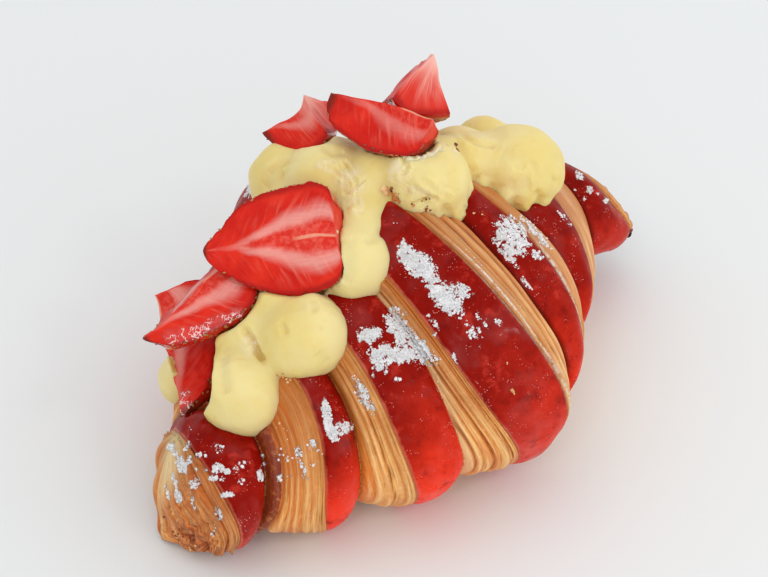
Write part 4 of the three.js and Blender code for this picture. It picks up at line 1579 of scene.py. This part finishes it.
speckles = Effect("speckles", {"Place": None, "Scale": 900.0, "Size": 0.25}, ["Mask"])
dots = speckles.node("TexVoronoi", {"Vector": speckles.place, "Scale": speckles.given["Scale"]}, "Distance")
size = speckles.given["Size"] * speckles.noise(300, 2).grade(0.42, 0.70)
speckles.fill(speckles.leave["Mask"], (size - dots).grade(-0.02, 0.06))
print("shared effects", [group.name for group in bpy.data.node_groups])

# %% Finish of the pastry
def glaze_finish():
    skin = Finish("red_glazed_skin")
    mottle = skin.noise(260, 4, 0.65)
    # darker towards the top and brighter low down: partly a deeper bake on top, partly painted shade on top
    # and painted light below
    high = skin.painted("high") + (skin.noise(60) - 0.5) * 0.5
    low_colour = skin.mix(skin.painted("tone"), (0.50, 0.022, 0.012), (1.0, 0.048, 0.017))
    skin.start(high.grade(0.26, 0.88), low_colour, (0.25, 0.0042, 0.0012))
    skin.paint(mottle.grade(0.50, 0.72) * 0.55, (0.13, 0.003, 0.002))
    skin.paint(mottle.grade(0.47, 0.28) * 0.38, (0.74, 0.058, 0.036))
    skin.paint(skin.effect(speckles, "Mask", Scale=1100.0, Size=0.30) * 0.4, (0.12, 0.003, 0.003))
    # pale specks: partly fine dust, partly painted sparkle highlights
    skin.paint(skin.effect(speckles, "Mask", Scale=1750.0, Size=0.25) * 0.6, (0.85, 0.36, 0.31))
    skin.paint((skin.painted("lip") + mottle * 0.9).grade(0.95, 0.50) * 0.7, (0.62, 0.16, 0.09))
    # painted shade: darker where the skin dives into the crack at its foot
    skin.paint(skin.painted("foot").grade(1.2, 0.2) * 0.7, (0.09, 0.006, 0.003))
    skin.paint(skin.painted("brown"), (0.10, 0.010, 0.006))
    veil = skin.effect(dusting, "Veil", Cover=skin.painted("sugar"))
    skin.paint(veil, SUGAR_WHITE)
    shiny = skin.noise(95, 3, 0.6).grade(0.48, 0.68, 0.01, 0.40)
    relief = skin.bumps((mottle, 0.00016), (skin.noise(1500, 2), 0.00003), (veil.also("Height"), 0.0003))
    return skin.finished(Roughness=mottle.grade(0.3, 0.7, 0.26, 0.42) + veil * 0.5, Normal=relief,
                         Coat_Weight=shiny * veil.grade(0.0, 0.5, 1.0, 0.0), Coat_Roughness=0.16,
                         Specular_IOR_Level=0.04)


def layers_finish():
    cut = Finish("cut_dough_layers")
    crevice = cut.painted("crevice")
    tone = cut.painted("tone")
    brown = cut.painted("brown")
    flow = cut.at(cut.painted("layer") * 1.9, cut.painted("run") * 0.04)
    streak = cut.noise(1.6, 4, 0.62, flow)
    hair = cut.noise(3.6, 3, 0.6, flow)
    grain = cut.noise(900, 3, 0.6)
    high = cut.painted("high") + (cut.noise(110) - 0.5) * 0.7
    cut.start(streak.grade(0.38, 0.60), (0.79, 0.232, 0.032), (0.94, 0.495, 0.138))
    cut.paint(hair.grade(0.48, 0.62) * 0.75, (0.64, 0.155, 0.018))
    cut.paint(tone * 0.42, (0.95, 0.585, 0.21))
    cut.paint(tone.grade(0.36, 0.08, 0.0, 0.5), (0.66, 0.165, 0.018))
    cut.paint(grain.grade(0.50, 0.64) * tone.grade(0.3, 0.8, 0.1, 0.4), (0.95, 0.665, 0.30))
    # painted highlight: the crests of the layers are paler
    cut.paint(crevice.grade(0.16, 0.02) * streak.grade(0.36, 0.60, 0.1, 0.55), (0.97, 0.70, 0.33))
    # darker and more orange towards the top: partly a deeper bake, partly painted shade under the cream
    cut.paint(high.grade(0.45, 1.0) * 0.72, (0.46, 0.105, 0.010))
    # the crevices are darker: partly browner dough in the valleys, partly painted shade in the deep gaps
    # and beside the lip and the foot
    deepening = crevice + (hair - 0.5) * 0.4
    cut.paint(deepening.grade(0.20, 0.75) * 0.75, (0.55, 0.14, 0.016))
    cut.paint(deepening.grade(0.75, 1.10) * 0.85, (0.20, 0.038, 0.006))
    toasted = cut.mix(hair.grade(0.38, 0.60), (0.66, 0.155, 0.022), (0.22, 0.030, 0.008))
    toasted = cut.mix(brown.grade(1.0, 1.4, 0.0, 0.85), toasted, (0.19, 0.026, 0.010))
    cut.paint(brown * grain.grade(0.35, 0.6, 0.6, 1.0) * 0.88, toasted)
    cut.paint(cut.painted("pale") * crevice.grade(0.9, 0.1, 0.35, 0.92), (0.85, 0.655, 0.34))
    cut.paint(cut.painted("frost") * grain.grade(0.40, 0.52, 0.15, 1.0) * 0.92, (0.90, 0.86, 0.80))
    veil = cut.effect(dusting, "Veil", Cover=cut.painted("sugar"))
    cut.paint(veil, SUGAR_WHITE)
    bare = 1.0 - veil
    relief = cut.bumps((hair * bare, 0.00022), (grain * bare, 0.00010), (veil.also("Height"), 0.0004))
    return cut.finished(Roughness=streak.grade(0.3, 0.7, 0.36, 0.52) + veil * 0.3 - brown * 0.10,
                        Normal=relief, Specular_IOR_Level=0.22)


give_finish(pastry, glaze_finish(), layers_finish())
print("pastry finishes", [m.name for m in pastry.data.materials])

# %% Finish of the cream
def cream_finish():
    custard = Finish("custard_cream")
    torn = custard.noise(380, 4, 0.7)
    dragged = custard.painted("dragged")
    custard.start(custard.noise(55).grade(0.35, 0.65), (0.76, 0.605, 0.208), (0.795, 0.675, 0.315))
    # painted shade: a deeper, darker yellow in the creases
    custard.paint(custard.painted("crease").grade(0.15, 0.85, 0.0, 0.55), (0.74, 0.50, 0.135))
    custard.paint(dragged * torn.grade(0.40, 0.60, 0.2, 0.85), (0.85, 0.73, 0.49))
    custard.paint(custard.noise(210, 3, 0.6).grade(0.60, 0.72) * 0.35, (0.74, 0.54, 0.155))
    relief = custard.bumps((custard.noise(160), 0.0003), (torn * dragged, 0.0006),
                           (custard.noise(700, 3, 0.6), 0.00004))
    return custard.finished(Roughness=dragged.grade(0.0, 1.0, 0.45, 0.68), Normal=relief,
                            Subsurface_Weight=0.55, Subsurface_Radius=(1.0, 0.78, 0.30),
                            Subsurface_Scale=0.0035, Specular_IOR_Level=0.3)


cream_material = cream_finish()
for piece in (cream, smears):
    piece.data.materials.clear()
    give_finish(piece, cream_material)
    for face in piece.data.polygons:
        face.material_index = 0
print("cream finish ready")

# %% Finishes of the fruit
def berry_skin_finish():
    skin = Finish("strawberry_skin")
    skin.start(skin.noise(90).grade(0.35, 0.7), (0.42, 0.006, 0.004), (0.66, 0.016, 0.007))
    skin.paint(skin.painted("tip").grade(1.2, 0.25, 0.0, 0.85), (0.10, 0.022, 0.006))
    return skin.finished(Roughness=0.24, Coat_Weight=0.9, Coat_Roughness=0.07,
                         Normal=skin.bumps((skin.noise(480), 0.00040)), Subsurface_Weight=0.10,
                         Subsurface_Radius=(1.0, 0.2, 0.15), Subsurface_Scale=0.0015,
                         Specular_IOR_Level=0.12)


def berry_flesh_finish():
    flesh = Finish("strawberry_flesh")
    along = flesh.painted("along")
    across = flesh.painted("across")
    turned = flesh.painted("round")
    streaky = flesh.painted("streaky")
    fan = flesh.painted("fan")
    wet = flesh.painted("wet")
    grainy = flesh.noise(900, 3, 0.6)
    lobes = flesh.noise(170)
    spot = across + (lobes - 0.5) * 0.22
    rays = flesh.noise(1.5, 2, 0.5, flesh.at(along * 15.0 + across * -3.0, across * 1.1))
    fibres = flesh.noise(1.2, 3, 0.55, flesh.at(along * 3.0, across * 13.0))
    flesh.start(lobes.grade(0.35, 0.7), (0.60, 0.009, 0.003), (0.74, 0.024, 0.008))
    shown = rays.grade(0.48, 0.66) * spot.grade(0.95, 0.50)
    flesh.paint(shown * along.grade(0.25, 0.75, 0.08, 0.44), (0.84, 0.20, 0.14))

    # the core, and the pale streak along its edge
    off = (spot - along.grade(0.05, 0.98, 0.02, 0.47)) / along.grade(0.05, 0.9, 0.05, 0.17)
    middle = flesh.mix(grainy.grade(0.40, 0.64), (0.72, 0.030, 0.016), (0.80, 0.115, 0.080))
    middle = flesh.mix(fibres.grade(0.48, 0.66) * 0.7, middle, (0.70, 0.018, 0.008))
    flesh.paint(off.grade(0.3, -0.7) * streaky * 0.75, middle)
    streak = off.grade(-1.3, -0.2) * off.grade(1.9, 0.1) * fibres.grade(0.30, 0.65, 0.75, 1.0)
    streak = streak * along.grade(0.08, 0.45, 0.15, 1.0) * streaky
    flesh.paint(streak * 0.68, (0.88, 0.44, 0.38))
    line = (across + fibres * 0.06).grade(0.075, 0.045) * along.grade(0.66, 0.74)
    flesh.paint(line * 0.5, (0.88, 0.55, 0.36))

    # the face at the stem end
    fans = flesh.noise(1.4, 2, 0.5, flesh.at(turned * 9.0, across * 1.2, 4.0))
    faded = fans.grade(0.40, 0.62, 0.15, 1.0) * across.grade(1.02, 0.40, 0.0, 0.9)
    faded = faded * abs(turned + 0.36).grade(0.10, 0.24, 0.15, 1.0) * fan
    end_face = flesh.mix(faded, (0.70, 0.030, 0.014), (0.88, 0.40, 0.33))
    end_face = flesh.mix(across.grade(0.42, 0.0, 0.0, 0.9) * fan, end_face, (0.90, 0.55, 0.46))
    flesh.paint(flesh.painted("cap"), end_face)

    # the rim, the corner at the stem end, the dark tip, and the juice that stands on the rim with painted
    # highlights on it
    flesh.paint(spot.grade(0.84, 0.98) * 0.8, (0.34, 0.004, 0.003))
    flesh.paint(across.grade(0.75, 0.1) * along.grade(0.55, 0.95) * (fan - 0.15), (0.90, 0.50, 0.42))
    flesh.paint(flesh.painted("tip").grade(1.0, 0.25, 0.0, 0.85), (0.14, 0.014, 0.006))
    juice = flesh.noise(430, 3, 0.6)
    glint = abs(juice - 0.5).grade(0.030, 0.008) * wet.grade(0.5, 0.95)
    glint = glint * flesh.noise(170, 2).grade(0.42, 0.52, 0.1, 1.0)
    # painted highlights: thin white glint lines laid into the colour of the wet rim
    flesh.paint(glint * 0.85, (0.92, 0.80, 0.78))
    relief = flesh.bumps((rays, 0.00025), (grainy, 0.00014), (juice * wet, 0.0009))
    return flesh.finished(Roughness=0.42, Coat_Weight=wet * 0.95 + 0.05, Coat_Roughness=0.09, Normal=relief,
                          Subsurface_Weight=0.15, Subsurface_Radius=(1.0, 0.25, 0.2),
                          Subsurface_Scale=0.002, Specular_IOR_Level=0.12)


def two_tone_finish(name, dark, light, scale, detail, span=None, bump=None, **sockets):
    """Two tones mixed by a noise, with a fine bump if one is given (its scale and depth)."""
    grainy = Finish(name)
    tone = grainy.noise(scale, detail)
    grainy.start(tone.grade(*span) if span else tone, dark, light)
    if bump:
        sockets["Normal"] = grainy.bumps((grainy.noise(bump[0]), bump[1]))
    return grainy.finished(**sockets)


SPAN = (0.35, 0.65)  # the middle of a noise, stretched to its full range
fruit_materials = [berry_skin_finish(), berry_flesh_finish()]
for piece in fruit.values():
    give_finish(piece, *fruit_materials)
give_finish(seeds, two_tone_finish("strawberry_seed", (0.16, 0.05, 0.012), (0.46, 0.23, 0.06), 300, 2, SPAN,
                                   Roughness=0.34, Coat_Weight=0.4))
print("fruit finishes ready")

# %% Finish of the crumbs, the sugar and the floor
for crumbs, name, dark, light in (
        (brown_crumbs, "toasted_crumbs", (0.09, 0.025, 0.008), (0.34, 0.10, 0.03)),
        (gold_crumbs, "golden_crumbs", (0.55, 0.20, 0.05), (0.86, 0.60, 0.30))):
    give_finish(crumbs, two_tone_finish(name, dark, light, 500, 3, SPAN, (1500, 0.0002), Roughness=0.6,
                                        Specular_IOR_Level=0.25))
give_finish(sugar, two_tone_finish(
    "icing_sugar", (0.87, 0.86, 0.87), (0.93, 0.92, 0.93), 900, 2, None, (2600, 0.0003), Roughness=0.9,
    Subsurface_Weight=0.4, Subsurface_Radius=(1.0, 1.0, 1.0), Subsurface_Scale=0.0012))
give_finish(floor, two_tone_finish("pale_floor", (0.77, 0.785, 0.785), (0.80, 0.812, 0.81), 2, 2,
                                   Roughness=0.75))
print("crumb, sugar and floor finishes ready")

# %% [markdown]
# ## Hand the pieces over
# Each piece takes the place of its solid and rides with it.

# %% Pieces and their solids
def hand_over(piece, solid):
    if solid:
        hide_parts(solid)
    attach(piece, "root")


for name, piece in fruit.items():
    hand_over(piece, name)
for piece, slot, solid in (
        (seeds, "strawberry", None), (cream, "cream", "cream"), (pastry, "crust", "croissant"),
        (sugar, "sugar", None), (brown_crumbs, "crust", None), (gold_crumbs, "crust", None),
        (smears, "cream", None)):
    hand_over(piece, solid)
